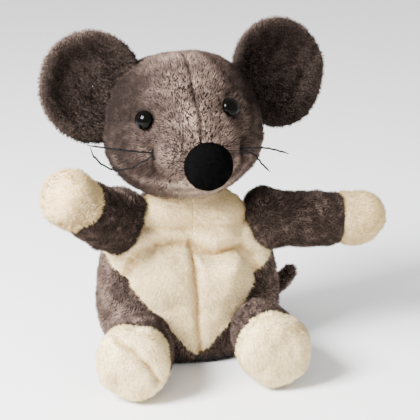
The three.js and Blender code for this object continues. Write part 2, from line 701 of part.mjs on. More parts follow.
function buildWhiskers(head) {
  const outline = new THREE.Shape().absarc(0, 0, WHISKER_RADIUS, 0, 2 * Math.PI, false);
  for (const [name, further] of Object.entries(WHISKERS)) {
    const [side, level] = name.split("_");
    const root = WHISKER_AT[side];
    const normal = headNormal(root);
    const start = headPoint(root, 0).addScaledVector(normal, SEAM_GAP + WHISKER_RADIUS);
    start.z += level === "upper" ? WHISKER_SPREAD : -WHISKER_SPREAD;
    const place = ([out, back, up]) => new THREE.Vector3(out * signOf[side], back, up).add(start);
    const path = new THREE.CatmullRomCurve3([start, ...further.map(place)]);
    const options = { steps: 6, curveSegments: FACETS.thread, extrudePath: path };
    const form = new THREE.ExtrudeGeometry(outline, options);
    addPart(head, `${name}_whisker`, solidOf(form), thread);
  }
}

// One ear panel: the cupped front or the domed back, as a lathe about the way that the ear faces.
function earPanel(front) {
  const { cup, middle, rim, edge } = EAR;
  const way = front ? 1 : -1;
  const crest = (EAR_RIM_START + 1) / 2;
  const outside = [];
  const seam = [];
  for (const share of [0, 0.35, EAR_RIM_START, 0.82, 0.94, 1]) {
    const dish = -cup * (1 - share * share);
    const curl = 1 - ((share - crest) / (1 - EAR_RIM_START)) ** 2;
    const half = share < EAR_RIM_START ? middle : Math.max(rim * curl, edge);
    outside.push([share, dish + way * (share === 1 ? edge / 2 : half)]);
    seam.push([share, dish + (way * SEAM_GAP) / 2]);
  }
  const points = front ? [...seam, ...outside.reverse()] : [...outside, ...seam.reverse()];
  return lathe(points, FACETS.body);
}

function buildEar(head, side, headRoom) {
  const facing = new THREE.Vector3(0, -1, 0);
  facing.applyAxisAngle(new THREE.Vector3(0, 0, 1), THREE.MathUtils.degToRad(EAR_YAW * signOf[side]));
  const place = new THREE.Matrix4().makeBasis(facing.clone().cross(UP), facing, UP);
  place.setPosition(EAR_AT[side]);
  for (const face of ["back", "front"]) {
    const panel = earPanel(face === "front").scale(EAR.halfWidth, 1, EAR.halfHeight);
    const solid = moved(panel, place).subtract(headRoom);
    addPart(head, `${side}_ear_${face}`, solid, greyPlush);
  }
}

function buildHead(root) {
  const head = new THREE.Group();
  head.position.copy(NECK);
  head.rotation.set(
    THREE.MathUtils.degToRad(HEAD_PITCH),
    THREE.MathUtils.degToRad(HEAD_ROLL),
    THREE.MathUtils.degToRad(HEAD_YAW),
    "ZXY",
  );
  const skull = new THREE.Group();
  skull.position.copy(HEAD_CENTRE);
  head.add(skull);
  root.add(head);

  const neckAt = HEAD_CENTRE.clone().negate();
  const neckRoom = ball(NECK_RADIUS + JOINT_GAP, neckAt);
  const pocketTop = neckAt.z + HEAD_POCKET_HEIGHT;
  const upright = new THREE.Matrix4().makeRotationX(Math.PI / 2).setPosition(neckAt.x, neckAt.y, 0);
  const pocketColumn = (radius, low, high) => {
    const column = new THREE.CylinderGeometry(radius, radius, high - low, FACETS.limb);
    return moved(column.translate(0, (low + high) / 2, 0), upright);
  };
  const pocketRadius = NECK_BORE + LINING;
  const pocket = pocketColumn(pocketRadius, neckAt.z, pocketTop + LINING)
    .subtract(pocketColumn(NECK_BORE, neckAt.z - PAST, pocketTop))
    .subtract(neckRoom);
  addPart(skull, "head_finger_pocket", pocket, liningCloth);

  const cuts = [...SIDES.map((side) => buildEye(skull, side)), buildNose(skull)];
  const outer = headForm(0);
  let skin = outer.subtract(headForm(PLUSH, FACETS.hidden)).subtract(neckRoom);
  let stuffing = headForm(PLUSH + FILL_GAP, FACETS.hidden).subtract(neckRoom);
  const pocketRoom = pocketColumn(pocketRadius + SEAM_GAP, neckAt.z, pocketTop + LINING + SEAM_GAP);
  stuffing = stuffing.subtract(pocketRoom);
  for (const cut of cuts) {
    skin = skin.subtract(cut.skin);
    stuffing = stuffing.subtract(cut.stuffing);
  }
  const chin = (grow) => {
    const form = new THREE.SphereGeometry(1, FACETS.limb, 8);
    form.scale(CHIN.halfWidth + grow, CHIN.halfDepth + grow, CHIN.halfHeight + grow);
    return moved(form, new THREE.Matrix4().makeTranslation(0, -CHIN.forward, -CHIN.down));
  };
  addPart(skull, "chin_panel", skin.intersect(chin(-SEAM_GAP / 2)), chinPlush);
  skin = skin.subtract(chin(SEAM_GAP / 2));
  for (const side of SIDES) addPart(skull, `head_skin_${side}`, skin.intersect(halfSpace[side]), greyPlush);
  addPart(skull, "head_stuffing", stuffing, wadding);
  buildWhiskers(skull);
  const earClearance = headForm(-EAR_ROOT_GAP, FACETS.hidden);
  for (const side of SIDES) buildEar(skull, side, earClearance);
}

// ---- The puppet ---------------------------------------------------------

const puppet = new THREE.Group();
const rightShoulder = mirrored(SHOULDER, "right");
const limbRoom = armRoom(SHOULDER, ARMS.left.aim, ARMS.left)
  .add(armRoom(rightShoulder, ARMS.right.aim, ARMS.right))
  .add(legRoom(HIPS.left.at, HIPS.left.aim))
  .add(legRoom(HIPS.right.at, HIPS.right.aim));

buildTorso(puppet, limbRoom);
const neckRing = moved(boredBall(NECK_RADIUS, NECK_BORE), aimed(NECK, UP));
addPart(puppet, "neck_ring", neckRing, greyPlush);
buildArm(puppet, "left", SHOULDER, ARMS.left.aim);
buildArm(puppet, "right", rightShoulder, ARMS.right.aim);
for (const side of SIDES) buildLeg(puppet, side, HIPS[side].at, HIPS[side].aim);
buildTail(puppet);
buildHead(puppet);

export default puppet;
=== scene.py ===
import json
import math

import bmesh
import bpy
import numpy as np
from mathutils import Matrix, Vector
from mathutils.bvhtree import BVHTree


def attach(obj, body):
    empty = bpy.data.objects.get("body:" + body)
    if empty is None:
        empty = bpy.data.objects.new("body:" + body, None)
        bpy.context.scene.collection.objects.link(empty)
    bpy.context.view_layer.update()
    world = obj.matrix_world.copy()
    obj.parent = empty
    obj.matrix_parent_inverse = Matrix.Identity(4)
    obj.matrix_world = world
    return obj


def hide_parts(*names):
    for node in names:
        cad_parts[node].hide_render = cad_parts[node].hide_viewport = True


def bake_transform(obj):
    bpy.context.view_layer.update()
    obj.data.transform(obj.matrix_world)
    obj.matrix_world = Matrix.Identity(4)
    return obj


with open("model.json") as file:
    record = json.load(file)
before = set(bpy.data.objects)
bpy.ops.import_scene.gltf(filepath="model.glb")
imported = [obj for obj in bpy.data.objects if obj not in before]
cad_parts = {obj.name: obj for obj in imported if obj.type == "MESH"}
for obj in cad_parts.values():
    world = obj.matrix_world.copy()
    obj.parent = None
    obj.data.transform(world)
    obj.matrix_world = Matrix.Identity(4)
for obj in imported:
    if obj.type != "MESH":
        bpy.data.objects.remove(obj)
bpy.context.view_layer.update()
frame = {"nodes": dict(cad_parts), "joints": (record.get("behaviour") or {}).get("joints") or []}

MM = 0.001
SIDES = {"left": 1, "right": -1}

# ---- Sizes ----------------------------------------------------------------

STUFFING_SLACK = 2.5  # the wadding shows this much smaller than its CAD solid
BASE_COAT_DEPTH = 2.2  # from the CAD's outside to the cloth that the pile stands on
CLOTH = 1.0  # thickness of the cloth itself

HEAD_TURN = (3.5, -10, -3)  # degrees of yaw, pitch and roll
HEAD_CENTRE = np.array([-1.5, -12.4, 49])  # from the neck joint, along the head
SNOUT_AXIS = np.array([0, -72, -19]) / math.hypot(72, 19)
EYE_AT = {"left": (22.5, -44.5, 15.5), "right": (-34.5, -40.5, 13.5)}
EYE_RADIUS, EYE_HEIGHT = 6.5, 4.6
NOSE_HALF = np.array((16.3, 12.0, 16.3))  # across, along its axis, upwards
WHISKER_AT = {"left": (28, -50, -12), "right": (-32.5, -50, -9)}
WHISKER_RADIUS = 0.6  # thicker than the CAD's 0.45
WHISKER_RINGS, WHISKER_SIDES = 60, 10

EAR_AT = {"left": (73, 4, 34), "right": (-60, 4, 37)}
# EAR_ROOT: centres of the painted shade round each ear's root on the head, in the head's frame.
EAR_ROOT = {"left": (47, -14, 28), "right": (-47, -20, 30)}
EAR_HALF_WIDTH, EAR_HALF_HEIGHT, EAR_CUP, EAR_YAW = 37.5, 40, 9, 12

SLEEVE_LENGTH, ARM_LENGTH, ARM_RADIUS = 57, 92, 20
ROOT_FLATNESS = 0.62  # of an arm's round end at the shoulder, along the arm
LEG_SLEEVE, SOLE_SEAM, SOLE_DEPTH = 27, 41, 15
LEG_ROOT_RADIUS, FOOT_RADIUS = 22, 26
SOLE_CREASE = [(-62, 46), (-52, 40), (-42, 29), (-37, 19)]  # across the right sole, as (x, z)
SEAM_DIP, SEAM_WIDTH = 1.6, 2.5  # how a seam between two coats draws a limb's cloth in
SOLE_DIP, SOLE_WIDTH = 1.0, 2.2  # the same at the sole
LIMB_COLUMNS, LATHE_COLUMNS = 110, 64

TAIL_PATH = [(0, 48.5, 8), (6, 60, 7.5), (28, 68, 7.5), (56, 64, 11), (77, 51, 22), (87, 38, 40)]
TAIL_RADIUS = 6.5
TAIL_RINGS, TAIL_SIDES = 90, 28

HAND_HOLE = {"half_width": 36, "half_height": 23, "height": 42}
BINDING_RADIUS = 2.2
LINING_INSET = 14
BELLY_POINT, BELLY_SLOPE = 6, 1.12  # the belly's lower edge: height at the middle, rise outwards
COLLAR_TOP = 119  # the chest cloth ends up inside the head
COLLAR_HALVES = (26, 19)  # its half width and half depth there
COLLAR_RUN = (104, 122)  # the heights between which the chest narrows to the collar
CHEST_SQUARENESS = 1.35
TORSO_MIDDLE = (0, 0, 60)
TORSO_COLUMNS = 90  # in each quarter of the torso
PANEL_FOOT = 1.5  # the height where the hip and back panels start

WAVE_COUNT = 7  # plane waves in the noise
PILE_ROOT = 0.3  # the fibres start this far under the cloth's face

# ---- Camera and light, in metres and degrees ---------------------------------

LOOK_AT, LOOK_WIDTH = (0.013, -0.020, 0.107), 0.294  # the picture spans this width there
LOOK_FROM = (-10, 17, 1.0)  # azimuth, elevation, distance
SENSOR_WIDTH = 36  # millimetres
LIGHT_AT, SKY_STRENGTH = (0.0, -0.02, 0.11), 1.15
LAMPS = {"key": ((-60, 36, 1.3), 0.5, 100), "fill": ((40, 15, 1.6), 1.0, 2)}  # place, side, watts
FLOOR_HALF = 3.0

# ---- Numbers over the surface ----------------------------------------------


def unit(v):
    v = np.asarray(v, float)
    return v / np.maximum(np.linalg.norm(v, axis=-1, keepdims=True), 1e-9)


def waves(p, wavelength, seed):
    """Smooth noise of about -1 to 1, a sum of plane waves in random directions."""
    rng = np.random.default_rng(seed)
    total = np.zeros(p.shape[:-1])
    for _ in range(WAVE_COUNT):
        way = unit(rng.normal(size=3)) * 2 * math.pi / (wavelength * rng.uniform(0.7, 1.4))
        total += np.sin(p @ way + rng.uniform(0, 2 * math.pi))
    return total / math.sqrt(WAVE_COUNT)


def full_turn(count):
    return np.linspace(0, 2 * math.pi, count, endpoint=False)


def bump(distance, width):
    return np.exp(-((distance / width) ** 2))


def spot(p, centre, reach):
    """A round bump about a point."""
    return bump(np.linalg.norm(p - np.array(centre), axis=-1), reach)


def smooth_step(value, low, high):
    t = np.clip((value - low) / (high - low), 0, 1)
    return t * t * (3 - 2 * t)


def line_distance(p, line):
    """(distance from each point to a polyline, how far along it from 0 to 1)."""
    line = np.asarray(line, float)
    best = np.full(p.shape[:-1], 1e9)
    share = np.zeros(p.shape[:-1])
    for i in range(len(line) - 1):
        span = line[i + 1] - line[i]
        t = np.clip(((p - line[i]) @ span) / (span @ span), 0, 1)
        distance = np.linalg.norm(p - line[i] - t[..., None] * span, axis=-1)
        near = distance < best
        best = np.where(near, distance, best)
        share = np.where(near, (i + t) / (len(line) - 1), share)
    return best, share


def turn_matrix(yaw, pitch, roll):
    z, x, y = (math.radians(v) for v in (yaw, pitch, roll))
    turns = Matrix.Rotation(z, 3, "Z") @ Matrix.Rotation(x, 3, "X") @ Matrix.Rotation(y, 3, "Y")
    return np.array(turns)


def axis_frame(aim):
    """Columns: across, along the aim, upwards."""
    along = unit(aim)
    across = unit(np.cross(along, (0, 0, 1)))
    return np.stack([across, along, np.cross(across, along)], axis=1)


# ---- What the frame holds ----------------------------------------------------


def cad_points(*names):
    return np.concatenate([[v.co for v in frame["nodes"][n].data.vertices] for n in names]) / MM


def cad_tree(*names):
    """A search tree of some CAD nodes, in millimetres, and each face's node."""
    points, faces, owners = [], [], []
    for name in names:
        mesh = frame["nodes"][name].data
        start = len(points)
        points += [tuple(v.co / MM) for v in mesh.vertices]
        faces += [[start + i for i in f.vertices] for f in mesh.polygons]
        owners += [name] * len(mesh.polygons)
    return BVHTree.FromPolygons(points, faces), owners


def joint_at(name):
    joint = next(j for j in frame["joints"] if j["name"] == name)
    return np.array(joint["pos_m"]) / MM


NECK = joint_at("head_turn")
SHOULDER = {side: joint_at(f"{side}_arm_swing") for side in SIDES}
HIP = {side: joint_at(f"{side}_leg_lift") for side in SIDES}


def middle(*names):
    points = cad_points(*names)
    return (points.min(0) + points.max(0)) / 2


def washer_axis(node, washer):
    """(tip, axis) of a round trim on its shank."""
    centre = cad_points(washer).mean(0)
    points = cad_points(node)
    axis = unit(points[np.argmax(np.linalg.norm(points - centre, axis=1))] - centre)
    return centre + axis * ((points - centre) @ axis).max(), axis


# ---- Materials ---------------------------------------------------------------


def fill_in(node, **values):
    for label, value in values.items():
        node.inputs[label.replace("_", " ")].default_value = value


def shader(name, roughness, **inputs):
    material = bpy.data.materials.new(name)
    material.use_nodes = True
    principled = material.node_tree.nodes["Principled BSDF"]
    fill_in(principled, Roughness=roughness, **inputs)
    return material, material.node_tree, principled


def linked(tree, node, **values):
    made = tree.nodes.new(node)
    fill_in(made, **values)
    return made


def textured(tree, node, **values):
    """A texture placed by the object's own coordinates."""
    place = tree.nodes.new("ShaderNodeTexCoord")
    made = linked(tree, node, **values)
    tree.links.new(place.outputs["Object"], made.inputs["Vector"])
    return made


def two_tones(tree, principled, source, dark, light, ends=(0, 1)):
    """Colours a material from dark to light by a texture's value."""
    ramp = tree.nodes.new("ShaderNodeValToRGB")
    for element, position, tone in zip(ramp.color_ramp.elements, ends, (dark, light)):
        element.position = position
        element.color = (*tone, 1)
    tree.links.new(source, ramp.inputs["Fac"])
    tree.links.new(ramp.outputs["Color"], principled.inputs["Base Color"])


def embossed(tree, principled, source, strength, distance):
    relief = linked(tree, "ShaderNodeBump", Strength=strength, Distance=distance)
    tree.links.new(source, relief.inputs["Height"])
    tree.links.new(relief.outputs["Normal"], principled.inputs["Normal"])


def mottled(name, dark, light, scale, roughness, bump_height=0.3, **inputs):
    """Cloth of two mixed tones with a fine relief."""
    material, tree, principled = shader(name, roughness, **inputs)
    noise = textured(tree, "ShaderNodeTexNoise", Scale=scale, Detail=4.0)
    two_tones(tree, principled, noise.outputs["Fac"], dark, light, (0.35, 0.65))
    embossed(tree, principled, noise.outputs["Fac"], bump_height, 0.0004)
    return material


def woven(name, dark, light, threads_per_m, roughness=0.85):
    """Plain weave: two crossed bands of thread."""
    material, tree, principled = shader(name, roughness, Sheen_Weight=0.2)
    both = tree.nodes.new("ShaderNodeMath")
    both.operation = "MAXIMUM"
    for i, direction in enumerate(("X", "Z")):
        band = textured(tree, "ShaderNodeTexWave", Scale=threads_per_m / 20, Distortion=1.5, Detail=2.0)
        band.bands_direction = direction
        tree.links.new(band.outputs["Fac"], both.inputs[i])
    two_tones(tree, principled, both.outputs[0], dark, light)
    embossed(tree, principled, both.outputs[0], 0.5, 0.0003)
    return material


def pile_tones(name, dark, light, count, sheen=0.25):
    """Plain materials from dark to light, one for each tone of a fabric's fibres."""
    dark, light = np.array(dark), np.array(light)
    made = []
    for i in range(count):
        colour = dark * (light / dark) ** (i / (count - 1))
        tint = (*np.minimum(colour * 1.6 + 0.02, 1), 1)
        material, _, principled = shader(f"{name}_pile_{i}", 0.85, Sheen_Weight=sheen, Sheen_Roughness=0.5)
        fill_in(principled, Base_Color=(*colour, 1), Sheen_Tint=tint, Specular_IOR_Level=0.5 * sheen)
        made.append(material)
    return made


BLACK = (0.0006,) * 3
TONES = {
    "grey_plush": pile_tones("grey", (0.011, 0.0072, 0.006), (0.42, 0.295, 0.235), 10, 0.12),
    "cream_plush": pile_tones("cream", (0.58, 0.37, 0.15), (1.0, 0.83, 0.47), 8, 0.06),
    "chin_plush": pile_tones("chin", (0.014, 0.0095, 0.0075), (0.52, 0.39, 0.29), 9, 0.12),
    # ear_shade: a darker copy of the grey plush for the ears, painted shade in their cups.
    "ear_shade": pile_tones("ear", (0.0035, 0.0024, 0.002), (0.32, 0.225, 0.18), 10, 0.05),
    # On the seat, dark_cloth's near black is dark grey cloth with painted shadow under the body.
    "dark_cloth": pile_tones("dark", (0.006, 0.005, 0.0045), (0.03, 0.024, 0.02), 4, 0.05),
    "nose_flock": pile_tones("flock", BLACK, (0.0016, 0.0015, 0.0014), 3, 0.0),
}
MATT = {"Specular_IOR_Level": 0.06}
COATS = {
    # The grey, cream and chin coats are darker than their fibres: painted shade in the gaps between the
    # fibres.
    "grey_plush": mottled("grey_coat", (0.008, 0.0055, 0.0045), (0.03, 0.021, 0.017), 900, 0.95, **MATT),
    "cream_plush": mottled("cream_coat", (0.50, 0.35, 0.17), (0.78, 0.63, 0.40), 900, 0.95),
    "chin_plush": mottled("chin_coat", (0.02, 0.014, 0.011), (0.08, 0.056, 0.045), 900, 0.95, **MATT),
    # On the seat, this near black weave is dark grey cloth with painted shadow under the body.
    "dark_cloth": woven("dark_weave", (0.006, 0.005, 0.0045), (0.028, 0.024, 0.021), 1600),
    "lining_cloth": woven("lining_weave", (0.10, 0.085, 0.075), (0.24, 0.21, 0.19), 2200, 0.7),
    "nose_flock": mottled("nose_coat", BLACK, (0.0015,) * 3, 2500, 1.0, 0.6, Specular_IOR_Level=0.05),
    "wadding": mottled("wadding_coat", (0.7, 0.69, 0.65), (0.88, 0.87, 0.84), 200, 1.0),
}


# ---- Meshes ------------------------------------------------------------------


def grid_faces(rows, cols, closed=False):
    """Quads of a grid of rows x cols points, whose columns may close on themselves."""
    across = cols if closed else cols - 1
    r, c = np.meshgrid(np.arange(rows - 1), np.arange(across), indexing="ij")
    nxt = (c + 1) % cols
    quads = np.stack([r * cols + c, r * cols + nxt, (r + 1) * cols + nxt, (r + 1) * cols + c], -1)
    return quads.reshape(-1, 4)


def face_normals(points, faces):
    a, b, c, d = (points[faces[:, i]] for i in range(4))
    return np.cross(c - a, d - b) / 2


def point_normals(points, faces):
    normals = np.zeros_like(points)
    each = face_normals(points, faces)
    for i in range(4):
        np.add.at(normals, faces[:, i], each)
    return unit(normals)


def kept(points, faces, keep):
    """The faces that keep says, with the points that they use."""
    faces = faces[keep]
    used, inverse = np.unique(faces, return_inverse=True)
    return points[used], inverse.reshape(-1, 4)


def outwards(surface, centre):
    """The surface with its faces turned to face away from a point or from each point's own centre."""
    points, faces = surface
    centres = points[faces].mean(1)
    facing = (face_normals(points, faces) * (centres - centre)).sum()
    return (points, faces) if facing > 0 else (points, faces[:, ::-1])


def in_scene(name, data):
    made = bpy.data.objects.new(name, data)
    bpy.context.scene.collection.objects.link(made)
    return made


def new_object(name, points, faces, materials):
    mesh = bpy.data.meshes.new(name)
    mesh.from_pydata((points * MM).tolist(), [], faces.tolist())
    mesh.update()
    made = in_scene(name, mesh)
    for material in materials:
        mesh.materials.append(material)
    mesh.shade_smooth()
    return made


def applied(made):
    """Applies an object's modifiers to its mesh."""
    seen = made.evaluated_get(bpy.context.evaluated_depsgraph_get())
    mesh = bpy.data.meshes.new_from_object(seen)
    old = made.data
    made.modifiers.clear()
    made.data = mesh
    mesh.name = made.name
    bpy.data.meshes.remove(old)
    return made


def cloth(name, surface, material, thickness=CLOTH):
    """A panel of cloth with its thickness on the inside."""
    made = new_object(name, *surface, [material])
    solid = made.modifiers.new("thickness", "SOLIDIFY")
    solid.thickness = thickness * MM
    solid.offset = -1
    return applied(made)


def pile(
    name, surface, palette, tone, comb, seed, per_cm2=150, length=2.4, width=0.26, lean=0.6, loose=0.22
):
    """Fibres on a surface: closed three-sided spikes that lean the way comb says, in tufts."""
    rng = np.random.default_rng(seed)
    points, faces = surface
    normals = point_normals(points, faces)
    triangles = np.concatenate([faces[:, [0, 1, 2]], faces[:, [0, 2, 3]]])
    a, b, c = (points[triangles[:, i]] for i in range(3))
    areas = np.linalg.norm(np.cross(b - a, c - a), axis=1) / 2
    count = int(areas.sum() / 100 * per_cm2 * (1))
    picked = rng.choice(len(triangles), count, p=areas / areas.sum())
    u, v = rng.random(count), rng.random(count)
    flip = u + v > 1
    u[flip], v[flip] = 1 - u[flip], 1 - v[flip]
    weights = np.stack([1 - u - v, u, v], 1)[..., None]
    at = (points[triangles[picked]] * weights).sum(1)
    normal = unit((normals[triangles[picked]] * weights).sum(1))

    def along_surface(vectors):
        return vectors - normal * (vectors * normal).sum(1, keepdims=True)

    tufts = np.stack([waves(at, 5.0, seed + k) for k in (1, 2, 3)], 1)
    combed = unit(along_surface(comb(at)))
    stray = along_surface(rng.normal(size=at.shape))
    way = unit(normal + lean * combed + 0.35 * along_surface(tufts) + loose * stray)
    reach = length * (0.8 + 0.35 * rng.random(count) + 0.12 * waves(at, 9.0, seed + 4))
    across = unit(np.cross(way, rng.normal(size=at.shape)))
    over = np.cross(way, across)
    rings = []
    for i in range(3):
        angle = 2 * math.pi * i / 3
        rings.append(at - PILE_ROOT * way + width * (math.cos(angle) * across + math.sin(angle) * over))
    tips = at + reach[:, None] * way
    spikes = np.stack([*rings, tips], 1)
    spikes[..., 2] = np.maximum(spikes[..., 2], 0.15)
    first = 4 * np.arange(count)[:, None, None]
    corners = first + np.array([[0, 1, 3], [1, 2, 3], [2, 0, 3], [2, 1, 0]])
    corners = corners.reshape(-1, 3)
    sides = [unit(ring - at + PILE_ROOT * way) * 0.55 for ring in rings]
    soft = unit(np.stack([*sides, 0.2 * way], 1) + normal[:, None, :])

    mesh = bpy.data.meshes.new(name)
    mesh.vertices.add(4 * count)
    mesh.vertices.foreach_set("co", (spikes * MM).astype(np.float32).ravel())
    mesh.loops.add(12 * count)
    mesh.loops.foreach_set("vertex_index", corners.astype(np.int32).ravel())
    mesh.polygons.add(4 * count)
    mesh.polygons.foreach_set("loop_start", np.arange(0, 12 * count, 3, dtype=np.int32))
    tones = TONES[palette]
    value = tone(at) + 0.055 * rng.normal(size=count) + 0.05 * waves(at, 6.0, seed + 5)
    index = np.clip((value * len(tones)).astype(int), 0, len(tones) - 1)
    for material in tones:
        mesh.materials.append(material)
    mesh.polygons.foreach_set("material_index", np.repeat(index, 4).astype(np.int32))
    mesh.update()
    mesh.validate()
    mesh.shade_smooth()
    mesh.normals_split_custom_set_from_vertices(soft.reshape(-1, 3).tolist())
    return in_scene(name, mesh)


def placed(made, hold, slot, *nodes):
    """Holds a piece on its body or bodies and hides the CAD nodes that it replaces. Its slot is not used."""
    hold(made)
    if nodes:
        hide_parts(*nodes)


def dressed(name, surface, slot, nodes, hold, tone, comb, seed, fill=0.7, palette=None, **fur):
    """A plush panel: its cloth and its pile, both held on the same body or bodies."""
    skin = cloth(f"{name}_cloth", surface, COATS[slot])
    placed(skin, hold, slot, *nodes)
    placed(pile(f"{name}_pile", surface, palette or slot, tone, comb, seed, **fur), hold, slot)


def rides(body):
    return lambda made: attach(made, body)


def blends():
    return lambda made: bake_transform(made)


def evenly(value):
    return lambda p: np.full(len(p), value)


# ---- Torso -------------------------------------------------------------------


def torso_profile():
    """Polynomials in the height for the torso's half width and half depth, fitted to the CAD's sections."""
    names = [n for n in frame["nodes"] if n.startswith(("belly_", "hip_", "back_"))]
    tree, _ = cad_tree(*names)
    heights = np.linspace(5.5, 99, 18)
    halves = []
    for z in heights:
        hits = []
        for angle in full_turn(90):
            way = Vector((math.cos(angle), math.sin(angle), 0))
            hit = tree.ray_cast(Vector((0, 0, z)) + way * 200, -way, 200)[0]
            if hit is not None and hit.dot(way) > 15:
                hits.append((hit.x**2, hit.y**2))
        hits = np.array(hits)
        keep = np.ones(len(hits), bool)
        for _ in range(6):
            fit = np.linalg.lstsq(hits[keep], np.ones(keep.sum()), rcond=None)[0]
            keep = hits @ fit > 0.955
        halves.append(1 / np.sqrt(fit))
    return [np.polyfit(heights, values, 6) for values in np.array(halves).T]


TORSO_FITS = torso_profile()
PROFILE_TOP = 97


def torso_halves(z, inset):
    """Half width and half depth. Above the shoulders the cloth narrows to the neck."""
    low = np.clip(z, 3, PROFILE_TOP)
    up = smooth_step(z, *COLLAR_RUN)
    under = np.clip(3 - z, 0, 3)
    narrow = 1 - 0.006 * under**2
    return [
        np.polyval(fit, low) * narrow * (1 - up) + end * up - inset
        for fit, end in zip(TORSO_FITS, COLLAR_HALVES)
    ]


def torso_point(angle, z, inset=BASE_COAT_DEPTH):
    half_width, half_depth = torso_halves(z, inset)
    centre_y = NECK[1] * smooth_step(z, *COLLAR_RUN)
    # The chest is flatter in front than an ellipse.
    power = 1 - (1 - 1 / CHEST_SQUARENESS) * smooth_step(z, 72, 96) * smooth_step(-np.sin(angle), 0, 0.3)
    across, forward = (np.sign(v) * np.abs(v) ** power for v in (np.cos(angle), np.sin(angle)))
    return np.stack([half_width * across, centre_y + half_depth * forward, z + 0 * angle], -1)


# The slack belly's folds, as (x, z) lines over the front: depth and width at each end.
FOLDS = [
    ([(-3, 88), (-1.5, 75), (-0.5, 51), (2, 8)], 9.0, 2.2, 3.2),
    ([(-3, 88), (6, 82), (14, 79.5), (24, 82), (33, 82), (42, 72), (48, 58)], 12.0, 7.0, 5.2),
    ([(-3, 88), (-14, 89), (-27, 87), (-40, 78), (-46, 66)], 8.5, 5.0, 4.6),
    ([(-44, 76), (-48, 66), (-47, 54)], 5.0, 3.0, 3.0),
    ([(-30, 98), (-8, 96), (12, 95), (34, 92)], 2.5, 2.5, 4.0),
    ([(-66, 22), (-58, 34), (-47, 49)], 3.5, 2.2, 4.0),
    ([(-72, 38), (-62, 44), (-52, 56)], 2.0, 1.5, 4.0),
    ([(38, 50), (52, 52), (66, 49)], 2.5, 2.5, 4.5),
]
# The cushions between them: (x, z), height, reach.
SWELLS = [
    ((-21, 66), 5.5, 16),
    ((21, 62), 7.0, 15),
    ((24, 72), 4.0, 8),
    ((-24, 79), 3.0, 8),
    ((-20, 102), 2.5, 12),
    ((22, 98), 2.5, 12),
    ((-58, 40), 1.5, 12),
]


def torso_relief(p):
    """How far the torso's cloth stands out at each point."""
    front = smooth_step(-p[..., 1], 2, 14)
    flat = p[..., [0, 2]]
    out = 0.9 * waves(p, 42, 3) + 0.45 * waves(p, 17, 4)
    folds = []
    for line, start, end, width in FOLDS:
        distance, share = line_distance(flat, line)
        folds.append((start + (end - start) * share) * bump(distance, width))
    out = out - front * np.max(folds, axis=0)
    for centre, height, reach in SWELLS:
        out = out + front * height * spot(flat, centre, reach)
    back_seam = (1 - front) * 1.2 * bump(p[..., 0], 2.0)
    side_seam = bump(p[..., 1], 2.2)
    return out - back_seam - side_seam


def torso_surface(angles, bottoms, tops, rows):
    """A panel between two heights for each angle, with its relief."""
    share = np.linspace(0, 1, rows)[:, None]
    heights = bottoms + (tops - bottoms) * share
    turns = np.broadcast_to(angles, heights.shape)
    points = torso_point(turns, heights)
    step = 0.01
    around = torso_point(turns + step, heights) - torso_point(turns - step, heights)
    upwards = torso_point(turns, heights + 1) - torso_point(turns, heights - 1)
    normals = unit(np.cross(around, upwards))
    points = points + normals * torso_relief(points)[..., None]
    points[..., 2] = np.maximum(points[..., 2], 1.0)
    return points.reshape(-1, 3), grid_faces(*heights.shape)


def belly_edge(angles):
    """The height of the belly's lower edge at each angle."""
    z = np.full(len(angles), 30.0)
    for _ in range(40):
        x = torso_halves(z, 0)[0] * np.cos(angles)
        z = 0.5 * z + 0.5 * np.minimum(BELLY_POINT + BELLY_SLOPE * np.abs(x), 90)
    return z


def down(p):
    return np.broadcast_to((0.0, 0.0, -1.0), p.shape)


def belly_comb(p):
    """The belly's pile is brushed outwards from its middle seam and down."""
    sideways = np.sign(p[:, 0]) * 0.8
    return np.stack([sideways, 0 * sideways, -np.ones(len(p))], 1)


def belly_tone(p):
    flat = p[:, [0, 2]]
    # Painted shade darkens the belly along its folds, and painted shadow of the head darkens the upper
    # chest.
    folds = [bump(line_distance(flat, line)[0], width * 0.5) for line, _, _, width in FOLDS[:4]]
    shade = 0.62 * np.max(folds, axis=0) + 0.34 * smooth_step(p[:, 2], 84, 106)
    seam = 0.5 * bump(line_distance(flat, FOLDS[0][0])[0], 1.0)
    return 0.78 - shade - seam + 0.07 * waves(p, 30, 8) + 0.04 * waves(p, 9, 14)


def hip_tone(p):
    return 0.60 + 0.10 * waves(p, 25, 9) + 0.05 * waves(p, 9, 10)


def hole_share(points, inset=0):
    """How far points lie from the hand opening's middle: 1 is on its edge, less an inset."""
    return np.hypot(
        points[:, 0] / (HAND_HOLE["half_width"] - inset),
        (points[:, 2] - HAND_HOLE["height"]) / (HAND_HOLE["half_height"] - inset),
    )


def build_torso():
    hold = blends()
    quarter = math.pi / 2
    foot, collar = np.full(TORSO_COLUMNS, PANEL_FOOT), np.full(TORSO_COLUMNS, COLLAR_TOP)
    for n, (side, sign) in enumerate(SIDES.items()):
        first = -quarter if sign > 0 else -2 * quarter
        front = np.linspace(first, first + quarter, TORSO_COLUMNS)
        edge = belly_edge(front)
        belly = outwards(torso_surface(front, edge, collar, 95), TORSO_MIDDLE)
        hips = outwards(torso_surface(front, foot, edge, 60), TORSO_MIDDLE)
        dressed(f"belly_{side}", belly, "cream_plush", [f"belly_panel_{side}"], hold, belly_tone, belly_comb,
                100 + n, fill=0.2, per_cm2=125, length=2.3, lean=0.7)
        dressed(f"hip_{side}", hips, "grey_plush", [f"hip_panel_{side}"], hold, hip_tone, down,
                110 + n, fill=0.2)
        first = 0 if sign > 0 else quarter
        rear = np.linspace(first, first + quarter, TORSO_COLUMNS)
        points, faces = outwards(torso_surface(rear, foot, collar, 110), TORSO_MIDDLE)
        back = kept(points, faces, hole_share(points[faces].mean(1)) > 1)
        dressed(f"back_{side}", back, "grey_plush", [f"back_panel_{side}"], hold, hip_tone, down,
                120 + n, fill=0.2)


